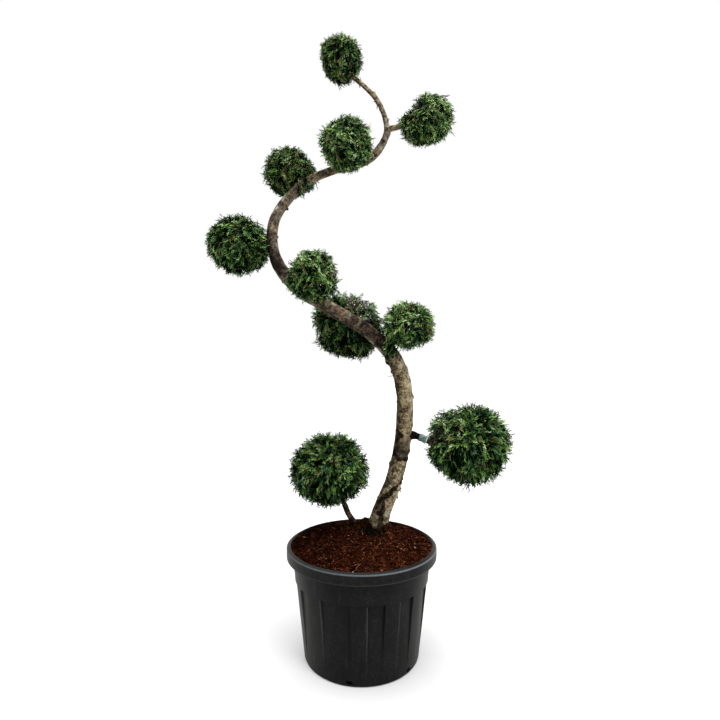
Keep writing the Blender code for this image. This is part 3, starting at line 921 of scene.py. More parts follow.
def scatter_chips(chance):
    """Bark chips and fibres strewn over the mulch, thinning out under the stem's foot."""
    templates = [model_chip(size, twist) for size, twist, _ in CHIP_KINDS]
    shares = [row[2] for row in CHIP_TONES.values()]
    mossy = [row[3] for row in CHIP_TONES.values()]
    places = []
    for _ in range(CHIPS):
        radius = CHIPS_RADIUS * math.sqrt(chance.random())
        angle = chance.uniform(0, 2 * math.pi)
        spot = Vector((radius * math.cos(angle), radius * math.sin(angle), 0.0))
        if math.dist(spot[:2], STEM_KNOTS[0][:2]) < CHIPS_CLEAR:
            continue
        # Chips on mossy clods are bigger and mostly black and moss chips, partly as painted shade.
        moss = any(
            math.dist(spot[:2], (x, y)) < reach * chance.uniform(0.6, 1.0) and chance.random() < share
            for x, y, reach, share in MOSS_AND_SHADE_SPOTS
        )
        spot.z = mulch_height(radius, spot.copy()) + chance.uniform(0.0, 0.0022)
        turn = Matrix.Rotation(chance.uniform(0, 2 * math.pi), 3, "Z")
        roll, pitch = chance.gauss(0, 0.38), chance.gauss(0, 0.30)
        tilt = Matrix.Rotation(roll, 3, "X") @ Matrix.Rotation(pitch, 3, "Y")
        size = chance.uniform(0.55, 1.25) * (1.4 if moss else 1.0)
        kind = chance.choices(range(len(CHIP_KINDS)), [row[2] for row in CHIP_KINDS])[0]
        tone = chance.choices(range(len(CHIP_TONES)), mossy if moss else shares)[0]
        # Red to pale chips are fewer to the left and to the back: painted shade.
        if 1 < tone < 6 and chance.random() < 0.28 - 2.6 * spot.x + 0.6 * spot.y:
            tone = chance.choice((0, 1))
        places.append((kind, turn @ tilt * size, spot, (tone,)))
    finishes = [plain("chip_" + tone, row[0], 0.9, row[1]) for tone, row in CHIP_TONES.items()]
    dress(plant("mulch_chips", templates, places), "mulch", *finishes)
    for template in templates:
        bpy.data.objects.remove(template)


# ---------------------------------------------------------------- planting many copies


def plant(name, templates, places):
    """One mesh of many copies. A place is (template, 3x3 turn and size, foot, tones): a template's
    material slot n takes the material tones[n]."""
    points, corners, tones = [], [], []
    first = 0
    for kind, template in enumerate(templates):
        chosen = [place for place in places if place[0] == kind]
        if not chosen:
            continue
        mesh = template.data
        shape = points_of(mesh)
        mesh.calc_loop_triangles()
        faces = np.array([tri.vertices for tri in mesh.loop_triangles])
        slots = np.array([tri.material_index for tri in mesh.loop_triangles])
        _, turns, feet, dealt = (np.array(column) for column in zip(*chosen))
        points.append((np.einsum("nij,vj->nvi", turns, shape) + feet[:, None, :]).reshape(-1, 3))
        starts = first + np.arange(len(chosen)) * len(shape)
        corners.append((faces + starts[:, None, None]).reshape(-1, 3))
        tones.append(dealt[:, slots].reshape(-1))
        first += len(chosen) * len(shape)
    mesh = bpy.data.meshes.new(name)
    mesh.from_pydata(np.concatenate(points), [], np.concatenate(corners))
    mesh.polygons.foreach_set("material_index", np.concatenate(tones).astype(np.int32))
    mesh.update()
    planted = bpy.data.objects.new(name, mesh)
    bpy.context.scene.collection.objects.link(planted)
    return planted


# ---------------------------------------------------------------- stem and boughs


def smooth_path(knots, steps):
    """Points (x, y, z, thickness) on a Catmull-Rom curve through the knots, steps to a span."""
    ends = [2 * Vector(knots[0]) - Vector(knots[1]), 2 * Vector(knots[-1]) - Vector(knots[-2])]
    rows = [ends[0]] + [Vector(k) for k in knots] + [ends[1]]
    points = []
    for before, start, stop, after in zip(rows, rows[1:], rows[2:], rows[3:]):
        for i in range(steps):
            t = i / steps
            slope = (stop - before) * t + (2 * before - 5 * start + 4 * stop - after) * t**2
            cubic = (3 * start - before - 3 * stop + after) * t**3
            points.append(start + 0.5 * (slope + cubic))
    points.append(rows[-2])
    return points


def even_path(knots, spacing):
    """The same curve as points spacing apart, each with its distance from the foot."""
    fine = np.array([tuple(p) for p in smooth_path(knots, 24)])
    gone = np.concatenate([[0], np.cumsum(np.linalg.norm(np.diff(fine[:, :3], axis=0), axis=1))])
    count = max(3, round(gone[-1] / spacing))
    wanted = np.linspace(0, gone[-1], count + 1)
    return wanted, np.stack([np.interp(wanted, gone, fine[:, i]) for i in range(4)], axis=1)


def limb_frames(path):
    """At each point: the run of the limb, its front (-Y side) and its right side."""
    ahead = np.array((0.0, -1.0, 0.0))
    run = np.gradient(path[:, :3], axis=0)
    run /= np.linalg.norm(run, axis=1)[:, None]
    front = ahead - run * (run @ ahead)[:, None]
    front /= np.linalg.norm(front, axis=1)[:, None]
    return run, front, np.cross(run, front)


def wrap(name, path, sides):
    """A grid to wrap round a path, X round it and Y along it. With it come each point's row on the
    path, its turn from the front, and the way out of the path there."""
    _, front, right = limb_frames(path)
    sheet = grid(name, sides, len(path) - 1)
    flat = points_of(sheet.data)
    row = np.rint(flat[:, 1] * (len(path) - 1)).astype(int)
    angle = flat[:, 0] * 2 * math.pi
    out = front[row] * np.cos(angle)[:, None] + right[row] * np.sin(angle)[:, None]
    return sheet, row, angle, out


# Marks on the stem: height, bearing from the front towards the right, and reach in metres.
# Knobs stand out by their height; creases are pressed in between two such places.
STEM_KNOBS = (
    (0.49, 55, 0.02, 0.0045), (0.5, -70, 0.022, 0.005), (0.59, -84, 0.01, 0.0045),
    (0.618, 96, 0.008, 0.008), (0.648, 96, 0.009, 0.0095), (0.672, 84, 0.01, 0.0035),
    (0.689, 80, 0.011, 0.004), (0.709, -22, 0.012, 0.0022), (0.735, -88, 0.014, 0.0045),
    (0.768, 82, 0.012, 0.004), (0.802, 80, 0.016, 0.0045), (0.86, 88, 0.024, 0.006),
    (0.868, -38, 0.014, 0.003), (0.905, 75, 0.018, 0.003), (0.997, -84, 0.006, 0.003),
    (1.012, 92, 0.018, 0.0065), (1.062, -84, 0.007, 0.0035), (1.066, 26, 0.006, 0.0012),
    (1.12, 80, 0.018, 0.003), (1.126, -86, 0.01, 0.0045), (1.172, -78, 0.026, 0.01),
    (1.188, -60, 0.016, 0.006), (1.195, 20, 0.022, 0.006), (1.285, -10, 0.018, 0.003),
    (1.343, -46, 0.01, 0.0025), (1.356, -6, 0.008, 0.002), (1.372, -60, 0.012, 0.003),
    (1.408, -70, 0.012, 0.003), (1.47, -88, 0.008, 0.003), (1.648, 86, 0.01, 0.0045),
    (1.8, 88, 0.01, 0.0095), (1.852, 100, 0.009, 0.003), (2.067, 10, 0.007, 0.0018),
    (2.09, 78, 0.02, 0.004), (2.128, 88, 0.007, 0.004), (2.154, 18, 0.009, 0.0022),
    (2.185, -80, 0.008, 0.0035), (2.206, 60, 0.008, 0.0045), (2.242, -60, 0.008, 0.004),
)
STEM_CREASES = (
    ((0.684, 70), (0.64, 16), 0.013, 0.0055), ((0.64, 16), (0.59, -46), 0.015, 0.006),
    ((0.585, -20), (0.515, 6), 0.012, 0.003), ((0.885, -70), (0.86, -14), 0.01, 0.0025),
    ((0.783, -80), (0.768, 0), 0.014, 0.0025), ((0.768, 0), (0.776, 70), 0.013, 0.0025),
    ((1.212, -24), (1.18, -2), 0.009, 0.004), ((0.72, -44), (0.716, -6), 0.004, 0.0018),
)
# Stains: height, bearing, reach and strength.
STEM_STAINS = (
    (0.462, -70, 0.044, 1.5), (0.462, 0, 0.05, 1.5), (0.47, 70, 0.044, 1.4), (0.497, 10, 0.022, 1.3),
    (0.5, 60, 0.02, 1.1), (0.503, 6, 0.02, 1.1), (0.54, -84, 0.018, 1.0), (0.543, -22, 0.014, 1.2),
    (0.555, -54, 0.014, 1.2), (0.569, -6, 0.014, 1.2), (0.579, -50, 0.016, 1.4),
    (0.709, -24, 0.009, 1.3), (0.765, 74, 0.018, 1.3), (0.772, -30, 0.015, 1.4),
    (0.772, 30, 0.014, 1.2), (0.79, -74, 0.02, 1.3), (0.79, -60, 0.026, 0.9), (0.8, 20, 0.03, 0.8),
    (0.8, 64, 0.026, 0.9), (0.812, -30, 0.03, 0.75), (0.83, 4, 0.026, 0.6), (0.842, -44, 0.026, 0.75),
    (0.85, 40, 0.024, 0.55), (0.85, 76, 0.018, 1.0), (0.87, -36, 0.014, 1.2), (0.878, -66, 0.014, 1.1),
    (0.905, -10, 0.014, 0.6), (0.905, 50, 0.018, 0.6), (0.93, 44, 0.01, 0.8), (0.948, 14, 0.007, 1.0),
    (0.997, -80, 0.006, 1.2), (1.062, -80, 0.006, 1.3), (1.066, 26, 0.006, 0.8), (1.1, 22, 0.006, 1.2),
    (1.126, -86, 0.008, 1.2), (1.172, -74, 0.018, 1.3), (1.18, 26, 0.01, 1.2), (1.19, -30, 0.014, 1.2),
    (1.19, 6, 0.016, 1.5), (1.196, 44, 0.03, 1.4), (1.209, -8, 0.018, 1.5), (1.222, 34, 0.04, 1.4),
    (1.231, 8, 0.024, 1.5), (1.238, -16, 0.028, 1.2), (1.24, 66, 0.04, 1.3), (1.249, 16, 0.026, 1.5),
    (1.258, 46, 0.04, 1.4), (1.27, 24, 0.026, 1.4), (1.282, 36, 0.034, 1.3), (1.288, 0, 0.02, 1.1),
    (1.3, -50, 0.012, 0.7), (1.304, 26, 0.03, 1.1), (1.307, -12, 0.014, 0.9), (1.33, -66, 0.012, 0.9),
    (1.343, -46, 0.009, 1.1), (1.356, -6, 0.007, 1.3), (1.36, -70, 0.009, 1.2),
    (1.371, -2, 0.009, 1.0), (1.448, 50, 0.03, 1.3), (1.476, 34, 0.022, 1.4), (1.49, 10, 0.036, 1.2),
    (1.494, 26, 0.024, 1.5), (1.515, 0, 0.04, 1.4), (1.522, 12, 0.024, 1.5), (1.545, 0, 0.036, 1.3),
    (1.547, -28, 0.024, 1.4), (1.578, -20, 0.022, 1.4), (1.6, -54, 0.03, 1.4),
    (1.622, -14, 0.014, 1.2), (1.648, -70, 0.03, 1.3), (1.668, -40, 0.016, 1.4),
    (1.717, 6, 0.009, 0.8), (1.8, 90, 0.016, 1.5), (1.926, 10, 0.012, 0.9), (1.947, -22, 0.016, 0.9),
    (1.955, 40, 0.02, 0.7), (1.963, -26, 0.02, 0.9), (2.067, 10, 0.007, 1.3), (2.154, 18, 0.008, 1.5),
    (2.206, 40, 0.008, 1.4), (2.25, 60, 0.012, 1.2),
)
# Stretches of darker, greyer bark.
STEM_WEATHERED = (
    (0.5, 0, 0.028, 0.9), (0.8, 0, 0.036, 0.95), (0.832, 20, 0.04, 0.75), (0.86, -20, 0.034, 0.5),
    (1.175, 10, 0.034, 0.6), (1.205, 10, 0.058, 1.2), (1.24, 10, 0.066, 1.3), (1.275, 0, 0.066, 1.2),
    (1.31, 0, 0.062, 1.0), (1.345, 0, 0.06, 0.95), (1.38, 0, 0.058, 0.85), (1.415, 0, 0.056, 0.85),
    (1.45, 10, 0.054, 1.0), (1.49, 10, 0.052, 1.1), (1.53, 0, 0.052, 1.2), (1.57, 0, 0.05, 1.2),
    (1.61, -10, 0.048, 1.1), (1.65, -10, 0.046, 0.9), (1.685, -30, 0.034, 0.6),
    (1.715, 20, 0.046, 0.95), (1.75, 10, 0.046, 0.9), (1.79, 10, 0.046, 0.85), (1.83, 10, 0.046, 0.85),
    (1.865, 10, 0.046, 0.9), (1.9, 10, 0.05, 0.75), (1.95, 0, 0.06, 0.7), (1.985, 0, 0.05, 0.6),
)
STEM_RUST = (
    (0.612, -14, 0.013, 0.9), (0.64, 14, 0.013, 1.0), (0.864, -30, 0.012, 0.9),
    (1.012, 88, 0.013, 1.4), (1.166, 30, 0.006, 1.1), (1.17, 10, 0.008, 1.2), (1.193, 10, 0.012, 1.1),
    (1.27, 64, 0.014, 0.8), (1.277, -14, 0.014, 0.9), (1.327, -26, 0.012, 0.9), (1.33, 26, 0.016, 1.1),
    (1.345, 20, 0.013, 0.8), (1.362, -30, 0.016, 0.9), (1.64, 16, 0.008, 0.8), (1.852, 2, 0.008, 0.9),
    (1.882, 18, 0.009, 0.8), (1.909, 30, 0.01, 1.0),
)
# Paler bark; the marks from 1.304 to 1.349 high, along the top of the crossing, are painted highlights.
STEM_PALE_AND_HIGHLIGHTS = (
    (0.508, -76, 0.014, 0.7), (0.528, 52, 0.02, 0.9), (0.551, 40, 0.018, 1.1), (0.56, 74, 0.022, 1.0),
    (0.574, 48, 0.018, 1.1), (0.598, 58, 0.016, 1.0), (0.62, 64, 0.014, 0.9), (0.64, -34, 0.012, 0.8),
    (0.655, -12, 0.014, 0.8), (0.68, -12, 0.016, 0.8), (0.7, 12, 0.016, 0.7), (0.732, 14, 0.014, 0.7),
    (0.738, -28, 0.014, 0.7), (0.94, 60, 0.016, 0.6), (0.97, 52, 0.022, 0.9), (1.01, 52, 0.022, 1.0),
    (1.05, 56, 0.024, 1.1), (1.09, 56, 0.022, 1.0), (1.12, 50, 0.02, 1.0), (1.148, -10, 0.014, 0.8),
    (1.15, 24, 0.014, 0.9), (1.209, -62, 0.012, 1.1), (1.223, -70, 0.016, 1.1),
    (1.245, -70, 0.016, 1.1), (1.267, -56, 0.01, 0.8), (1.304, 24, 0.012, 0.6), (1.32, 42, 0.016, 0.6),
    (1.332, 74, 0.02, 0.65), (1.349, 54, 0.02, 0.65), (1.38, -66, 0.024, 0.8), (1.41, -74, 0.03, 0.95),
    (1.44, -80, 0.032, 1.0), (1.472, -84, 0.032, 1.0), (1.505, -84, 0.032, 1.0),
    (1.54, -86, 0.028, 0.9), (1.585, 30, 0.006, 1.0), (1.603, 34, 0.006, 1.0), (1.621, 38, 0.006, 1.0),
    (1.7, -40, 0.03, 0.4), (1.713, -66, 0.02, 1.2), (1.735, -40, 0.03, 0.5), (1.754, -70, 0.022, 1.2),
    (1.77, -40, 0.03, 0.5), (1.781, -40, 0.016, 1.0), (1.79, -76, 0.02, 1.2), (1.815, -34, 0.018, 1.0),
    (1.83, -72, 0.02, 1.0), (1.85, -40, 0.03, 0.3), (2.02, 0, 0.036, 0.55), (2.04, -40, 0.014, 0.8),
    (2.05, 0, 0.038, 0.7), (2.06, -52, 0.014, 0.8), (2.085, 0, 0.038, 0.75), (2.112, -30, 0.018, 0.7),
    (2.12, 0, 0.036, 0.7), (2.155, 0, 0.036, 0.6), (2.19, 0, 0.036, 0.5), (2.225, 0, 0.036, 0.45),
)
STEM_MARKS = dict(
    knobs=STEM_KNOBS,
    creases=STEM_CREASES,
    stain=STEM_STAINS,
    rust=STEM_RUST,
    pale=STEM_PALE_AND_HIGHLIGHTS,
    weathered=STEM_WEATHERED,
)
# Dry twig ends: height, bearing, length, thickness, and how far each leans along the stem (degrees).
STEM_STUBS = (
    (1.11, -90, 0.018, 0.0022, 8), (1.126, -84, 0.006, 0.004, 30), (0.642, 92, 0.01, 0.007, -30),
    (0.616, 90, 0.008, 0.006, -40), (1.799, 86, 0.009, 0.01, -30), (1.648, 84, 0.006, 0.005, -20),
    (2.178, -92, 0.013, 0.004, -50), (2.19, -86, 0.006, 0.005, 20), (2.206, 88, 0.005, 0.006, 10),
    (2.128, 92, 0.006, 0.005, 30), (2.246, 84, 0.01, 0.0022, 50), (2.24, -88, 0.009, 0.0045, -40),
    (1.95, -88, 0.01, 0.0018, 30),
)


def spot_on(path, frames, height, bearing):
    """The place on a limb's side at a height and a bearing, and the way out of it there."""
    row = int(np.argmin(np.abs(path[:, 2] - height)))
    _, front, right = frames
    angle = math.radians(bearing)
    out = front[row] * math.cos(angle) + right[row] * math.sin(angle)
    return path[row, :3] + out * path[row, 3] / 2, out


def smooth_fall(distance, reach):
    share = np.clip(1 - distance / reach, 0, 1)
    return share * share * (3 - 2 * share)


def near_creases(points, path, frames, creases, widen=1.0):
    """For each crease: its depth, and how near to it each point is, from 0 to 1."""
    for start, stop, reach, depth in creases:
        first, last = (spot_on(path, frames, *end)[0] for end in (start, stop))
        way = last - first
        share = np.clip((points - first) @ way / (way @ way), 0, 1)
        away = np.linalg.norm(points - (first + share[:, None] * way), axis=1)
        yield depth, smooth_fall(away, reach * widen)


def noise_on(points, scale, stretch=1.0):
    stretched = points * np.array((scale, scale, scale * stretch))
    return np.array([noise.noise(Vector(point)) for point in stretched])


def patches(points, path, frames, spots):
    """How strongly each point is marked by the nearest of some spots."""
    total = np.zeros(len(points))
    for height, bearing, reach, strength in spots:
        spot, _ = spot_on(path, frames, height, bearing)
        near = smooth_fall(np.linalg.norm(points - spot, axis=1), reach * 1.25)
        total = np.maximum(total, strength * near)
    return total


def model_limb(name, knots, sides, spacing, rough, marks):
    """A round limb with its bark's relief, wrapped round the knots' path."""
    gone, path = even_path(knots, spacing)
    frames = limb_frames(path)
    limb, row, angle, out = wrap(name, path, sides)
    radius = path[row, 3] / 2
    straight = np.stack([radius * np.cos(angle), radius * np.sin(angle), gone[row]], axis=1)
    skin = path[row, :3] + out * radius[:, None]

    broad = noise_on(straight, 22, 0.6) * 0.06 * radius
    plates = noise_on(straight, 90, 0.35)
    fissures = -np.abs(noise_on(straight + 7.0, 150, 0.22))
    relief = plates * 0.45 + fissures
    lift = broad + relief * rough
    for height, bearing, reach, stand in marks.get("knobs", ()):
        spot, _ = spot_on(path, frames, height, bearing)
        lift += stand * smooth_fall(np.linalg.norm(skin - spot, axis=1), reach)
    creases = marks.get("creases", ())
    for depth, near in near_creases(skin, path, frames, creases):
        lift -= depth * near
    lift *= np.clip(np.minimum(gone[row], gone[-1] - gone[row]) / 0.006, 0.0, 1.0) * 0.6 + 0.4
    set_points(limb.data, skin + out * lift[:, None])

    coarse = np.array([noise.noise_vector(Vector(p) * 42) for p in skin])
    fine = np.array([noise.noise_vector(Vector(p) * 110) for p in skin])
    astray = skin + 0.010 * coarse + 0.006 * fine
    for kind in ("stain", "rust", "pale", "weathered"):
        strength = patches(astray, path, frames, marks.get(kind, ())) + marks.get("all_" + kind, 0.0)
        # Creases are painted dark too: painted shade in their hollows.
        if kind == "stain":
            for _, near in near_creases(astray, path, frames, creases, 1.3):
                strength = np.maximum(strength, 1.6 * near)
        paint(limb.data, kind, strength)
    # Painted shade: the left side is darker.
    paint(limb.data, "shade", np.clip(0.15 - out[:, 0], 0.0, 1.0))
    paint(limb.data, "relief", relief)
    close_limb(limb)
    return limb


def close_limb(limb):
    """Weld the seam along the limb and fill its two ends."""
    merge_doubles(limb)
    edit(limb)
    bpy.ops.mesh.select_non_manifold(extend=False, use_boundary=True)
    bpy.ops.mesh.edge_face_add()
    done_editing()
    shade(limb, 60)


def model_stem_and_boughs():
    stem_bark = bark("stem_bark", (0.225, 0.182, 0.108), (0.122, 0.095, 0.053), (0.042, 0.031, 0.017))
    dark_bark = bark("bough_bark", (0.080, 0.055, 0.034), (0.032, 0.021, 0.013), (0.009, 0.006, 0.004))
    # Painted shade: the low right bough's bark is near black, as it lies in the shade between the stem
    # and its ball.
    shaded_bark = bark(
        "shaded_tied_bough_bark", (0.006, 0.0035, 0.0025), (0.0025, 0.0015, 0.0012), (0.001, 0.0006, 0.0005)
    )
    stem = model_limb("spiral_stem", STEM_KNOTS, 56, 0.0042, 0.0017, STEM_MARKS)
    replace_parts(dress(stem, "bark", stem_bark), *STEM_NODES)
    bough_looks = {
        "low_left_bough": (dark_bark, dict(all_stain=0.10, stain=((0.476, 0, 0.048, 1.6),))),
        "low_right_bough": (shaded_bark, {}),
        "top_right_bough": (stem_bark, dict(all_pale=0.35)),
    }
    for node, (finish, marks) in bough_looks.items():
        bough = model_limb(node.replace("_bough", "_limb"), BOUGHS[node], 36, 0.003, 0.0011, marks)
        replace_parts(dress(bough, "bark", finish), node)
    model_stubs(plain("dry_twig", (0.030, 0.020, 0.015), 0.9, 0.05))


def model_stubs(finish):
    """The broken ends of twigs that were cut from the stem."""
    _, path = even_path(STEM_KNOTS, 0.003)
    frames = limb_frames(path)
    stubs = []
    for height, bearing, length, thickness, lean in STEM_STUBS:
        spot, out = spot_on(path, frames, height, bearing)
        along = frames[0][int(np.argmin(np.abs(path[:, 2] - height)))]
        angle = math.radians(lean)
        way = Vector(out * math.cos(angle) + along * math.sin(angle))
        place = Vector(spot) + way * length * 0.25
        girths = dict(radius1=thickness * 0.6, radius2=thickness * 0.3)
        stub = cone(way, vertices=7, depth=length * 1.5, location=place, **girths)
        for vert in settle(stub).data.vertices:
            vert.co += 0.18 * thickness * noise.noise_vector(vert.co * 400)
        stubs.append(stub)
    ends = join(stubs, "twig_stubs")
    shade(ends, 40)
    dress(ends, "bark", finish)


# ---------------------------------------------------------------- the tying tape


def model_tape(finish):
    """A sleeve of soft tape round the low right bough, flared unevenly at its outer end."""
    _, path = even_path(BOUGHS["low_right_bough"], 0.001)
    path = path[(path[:, 0] > TIE_BAND["start"] - 0.002) & (path[:, 0] < TIE_BAND["end"] + 0.001)]
    tape, row, angle, out = wrap("tying_tape", path, 40)
    share = row / (len(path) - 1)
    creases = 0.0006 * np.sin(share * 40 + 2 * np.sin(angle * 2))
    creases += 0.0005 * np.sin(angle * 5 + share * 9)
    flare = 0.0045 * np.clip((share - 0.72) / 0.28, 0, 1) ** 2 * (1 + 0.5 * np.sin(angle * 3))
    radius = path[row, 3] / 2 + TIE_BAND["wall"] + creases + flare
    set_points(tape.data, path[row, :3] + out * radius[:, None])
    # The flared end is painted pale, partly as a painted highlight.
    paint(tape.data, "flare", np.clip((share - 0.88) / 0.1, 0, 1) * 0.8)
    merge_doubles(tape, 0.00005)
    wall = tape.modifiers.new("wall", "SOLIDIFY")
    wall.thickness = TIE_BAND["wall"]
    wall.offset = 1.0
    smooth = tape.modifiers.new("smooth", "SUBSURF")
    smooth.levels = smooth.render_levels = 1
    apply_all(tape)
    shade(tape)
    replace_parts(dress(tape, "tie_band", finish), "tie_band")


# ---------------------------------------------------------------- foliage


def add_stalk(length, material):
    """A spray's own twig: a three-sided spindle up Z, thickest in its middle."""
    stalk = cone(UP, vertices=3, radius1=0.5, radius2=0.0, depth=1.0, end_fill_type="TRIFAN")
    for vert in stalk.data.vertices:
        if vert.co.xy.length > 0.001:
            vert.co = (*vert.co.xy * STALK_WIDTH, 0.45 * length)
        else:
            vert.co.z = length if vert.co.z > 0 else 0.0
    stalk.data.materials.append(material)
    return settle(stalk)


def arched(point, length, turn):
    """Bend a point of a spray that stands along Z over towards +X, by turn in all."""
    bend = length / turn
    angle, arm = point.z / bend, bend - point.x
    return Vector((bend - arm * math.cos(angle), point.y, arm * math.sin(angle)))


def add_blade(length, foot, way, material):
    """A scale-leaved branchlet: a lozenge of four faces, pointed at both ends."""
    blade = cone(way, vertices=3, radius1=0.5, depth=1.0, location=foot)
    foot_corner, right, left, tip = sorted(blade.data.vertices, key=lambda vert: vert.co.z)
    half, keel = 0.5 * BLADE_WIDTH, 0.35 * BLADE_WIDTH
    foot_corner.co = (0.0, 0.0, 0.0)
    left.co = (keel, -half, 0.45 * length)
    right.co = (keel, half, 0.45 * length)
    tip.co = (0.0, 0.0, length)
    blade.data.materials.append(material)
    return settle(blade)


def model_spray(pairs, length, reach, lean, arch, slots):
    """A flat spray: a leafy twig with pairs of scale-leaved branchlets, arched over."""
    wood, body, tips = slots
    parts = [add_stalk(length, wood)]
    for i in range(pairs):
        share = 0.14 + 0.60 * i / (pairs - 1)
        long = reach * (1.0 - 0.45 * abs(share - 0.30) / 0.70)
        for side in (-1, 1):
            foot = Vector((0, 0, length * (share + 0.045 * side)))
            angle = lean * (1.12 - 0.40 * share)
            way = Vector((0.22 * math.sin(i * 2.1 + side), side * math.sin(angle), math.cos(angle)))
            parts.append(add_blade(long, foot, way, tips if share > 0.5 else body))
    spray = join(parts, "spray")
    for vert in spray.data.vertices:
        vert.co = arched(vert.co, length, arch)
    return spray


# Kinds of spray: pairs of branchlets, length, branchlet length, lean (radians), arch and share.
SPRAYS = (
    (5, 0.050, 0.0175, 0.55, 0.35, 0.26),
    (4, 0.054, 0.0165, 0.38, 0.50, 0.34),
    (3, 0.052, 0.0185, 0.28, 0.80, 0.26),
    (3, 0.030, 0.0165, 0.50, 0.25, 0.12),
    (4, 0.042, 0.0200, 0.68, 0.40, 0.02),
)
FROND, SLIM, STRAND, TUFT, PLUME = range(5)


def spray_kit():
    """The kinds of spray, each with three material slots, and each one's chord."""
    slots = [plain(f"slot_{part}", (0.5, 0.5, 0.5)) for part in ("wood", "body", "tips")]
    templates = [model_spray(*kind[:5], slots) for kind in SPRAYS]
    chords = [arched(Vector((0, 0, length)), length, arch) for _, length, _, _, arch, _ in SPRAYS]
    return templates, chords


def spread_directions(count, chance, jitter=0.06):
    """Directions spaced evenly over a sphere in a golden spiral, each moved a little at random."""
    golden = math.pi * (3 - math.sqrt(5))
    for i in range(count):
        height = 1 - 2 * (i + 0.5) / count
        ring = math.sqrt(1 - height * height)
        way = Vector((ring * math.cos(golden * i), ring * math.sin(golden * i), height))
        yield (way + random_vector(chance) * jitter).normalized()


def random_vector(chance):
    return Vector((chance.gauss(0, 1), chance.gauss(0, 1), chance.gauss(0, 1)))


class Limbs:
    """All the woody paths, to keep leaves out of them."""

    def __init__(self):
        limbs = (STEM_KNOTS, *BOUGHS.values())
        self.points = np.concatenate([even_path(knots, 0.006)[1] for knots in limbs])

    def touch(self, places, spare):
        """For each place, whether it lies within spare of a limb's side."""
        near = []
        for some in np.array_split(places, len(places) // 4000 + 1):
            away = np.linalg.norm(some[:, None, :] - self.points[None, :, :3], axis=2)
            near.append((away - self.points[None, :, 3] / 2).min(axis=1) < spare)
        return np.concatenate(near)


def stub_of(centre, carrier):
    """Where a ball's own short stem starts, and which way and how thick it is."""
    if carrier is None:
        path = even_path(STEM_KNOTS, 0.006)[1]
        near = path[np.argmin(np.linalg.norm(path[:, :3] - np.array(centre), axis=1))]
        foot = Vector(near[:3])
        return foot, (centre - foot).normalized(), 0.011
    knots = STEM_KNOTS if carrier == "stem" else BOUGHS[carrier]
    last, before = Vector(knots[-1][:3]), Vector(knots[-2][:3])
    return last, (last - before).normalized(), knots[-1][3] / 2


def bent(start, stop, sag, steps):
    """Points from start to stop that bow out by sag."""
    for i in range(steps + 1):
        t = i / steps
        yield start.lerp(stop, t) + sag * (4 * t * (1 - t))


def tone_of(place, up, chance, light, browned):
    """Deal a spray its dress: brighter on top as painted light, in drifts, with chance in them."""
    if chance.random() < browned:
        chosen = chance.choice(BROWNED_DRESS)
    else:
        drift = noise.noise(place * 19.0) * 0.30 + noise.noise(place * 47.0) * 0.25
        # The 0.12 * up term is painted light: sprays on top are brighter.
        pick = min(max(chance.random() + drift + 0.12 * up + light, 0.0), 0.999)
        for share, chosen in SPRAY_DRESS:
            pick -= share
            if pick < 0:
                break
    return tuple(TONE_NAMES.index(tone) for tone in chosen)


def axes(along, over):
    """Rows of three directions square to each other, the first two along and over."""
    over = (over - along * over.dot(along)).normalized()
    return Matrix((along, over, along.cross(over)))


def spray_place(chords, kind, foot, tip, centre, girth, chance, tones):
    """Place a spray so that it runs from foot to tip, arching over away from the ball's middle."""
    own_chord = chords[kind]
    chord = tip - foot
    size = chord.length / own_chord.length
    width = min(max(size, 0.75), 1.15) * girth
    over = centre - tip + random_vector(chance) * 0.05 - UP * 0.04
    here = axes(chord.normalized(), over).transposed()
    there = axes(own_chord.normalized(), Vector((1, 0, 0)))
    return (kind, here @ Matrix.Diagonal((size, width, width)) @ there, foot, tones)


class Clipped:
    """The surface that a ball is clipped to: its half sizes, its outline by the clock, and lumps."""

    def __init__(self, ball, chance):
        self.centre, self.half = Vector(ball["centre"]), Vector(ball["half"])
        self.mean = sum(self.half) / 3
        self.hours = [ball["hours"].get(hour, 1.0) for hour in range(12)]
        self.shift = Vector([chance.uniform(0, 50) for _ in range(3)])

    def __call__(self, side, reach):
        """The place at a share of the way from the centre to the clipped surface."""
        clock = (math.degrees(math.atan2(side.x, side.z)) / 30) % 12
        hour = int(clock) % 12
        stand = self.hours[hour] + (self.hours[(hour + 1) % 12] - self.hours[hour]) * (clock % 1)
        stand = 1 + (stand - 1) * (1 - side.y**2)
        stand += LUMPS * noise.noise(side * 1.8 + self.shift)
        return self.centre + side * self.half * reach * stand


def grow_twigs(ball, surface, chance):
    """The ball's own stem and main twigs, as lists of (place, radius), and for each main twig its
    direction and its path."""
    centre = surface.centre
    foot, way, thick = stub_of(centre, ball.get("carrier"))
    hub = foot + way * (centre - foot).length * 0.8
    twigs = [[(p, thick * (1 - i / 8)) for i, p in enumerate(bent(foot, hub, Vector(), 4))]]
    mains = []
    for side in spread_directions(MAIN_TWIGS, chance, 0.15):
        start = foot.lerp(hub, chance.uniform(0.55, 1.0))
        path = list(bent(start, surface(side, 0.55), random_vector(chance) * 0.008, 4))
        twigs.append([(p, 0.0055 - 0.0008 * i) for i, p in enumerate(path)])
        mains.append((side, path))
    return twigs, mains


def loose_here(ball, side, chance):
    """For each thin place that this side falls in, the number of small sprays that it leaves."""
    return [
        left
        for to, wide, share, left in ball.get("thin", ())
        if side.dot(Vector(to).normalized()) > math.cos(math.radians(wide)) and chance.random() < share
    ]


def tip_near(surface, side, chance, wander, sink=0.0):
    """A direction that wanders off side by some metres on the ball's surface, and sinks by a share
    of its size."""
    drift = random_vector(chance) * wander - Vector((0, 0, sink * surface.mean))
    return (side * surface.mean + drift).normalized()


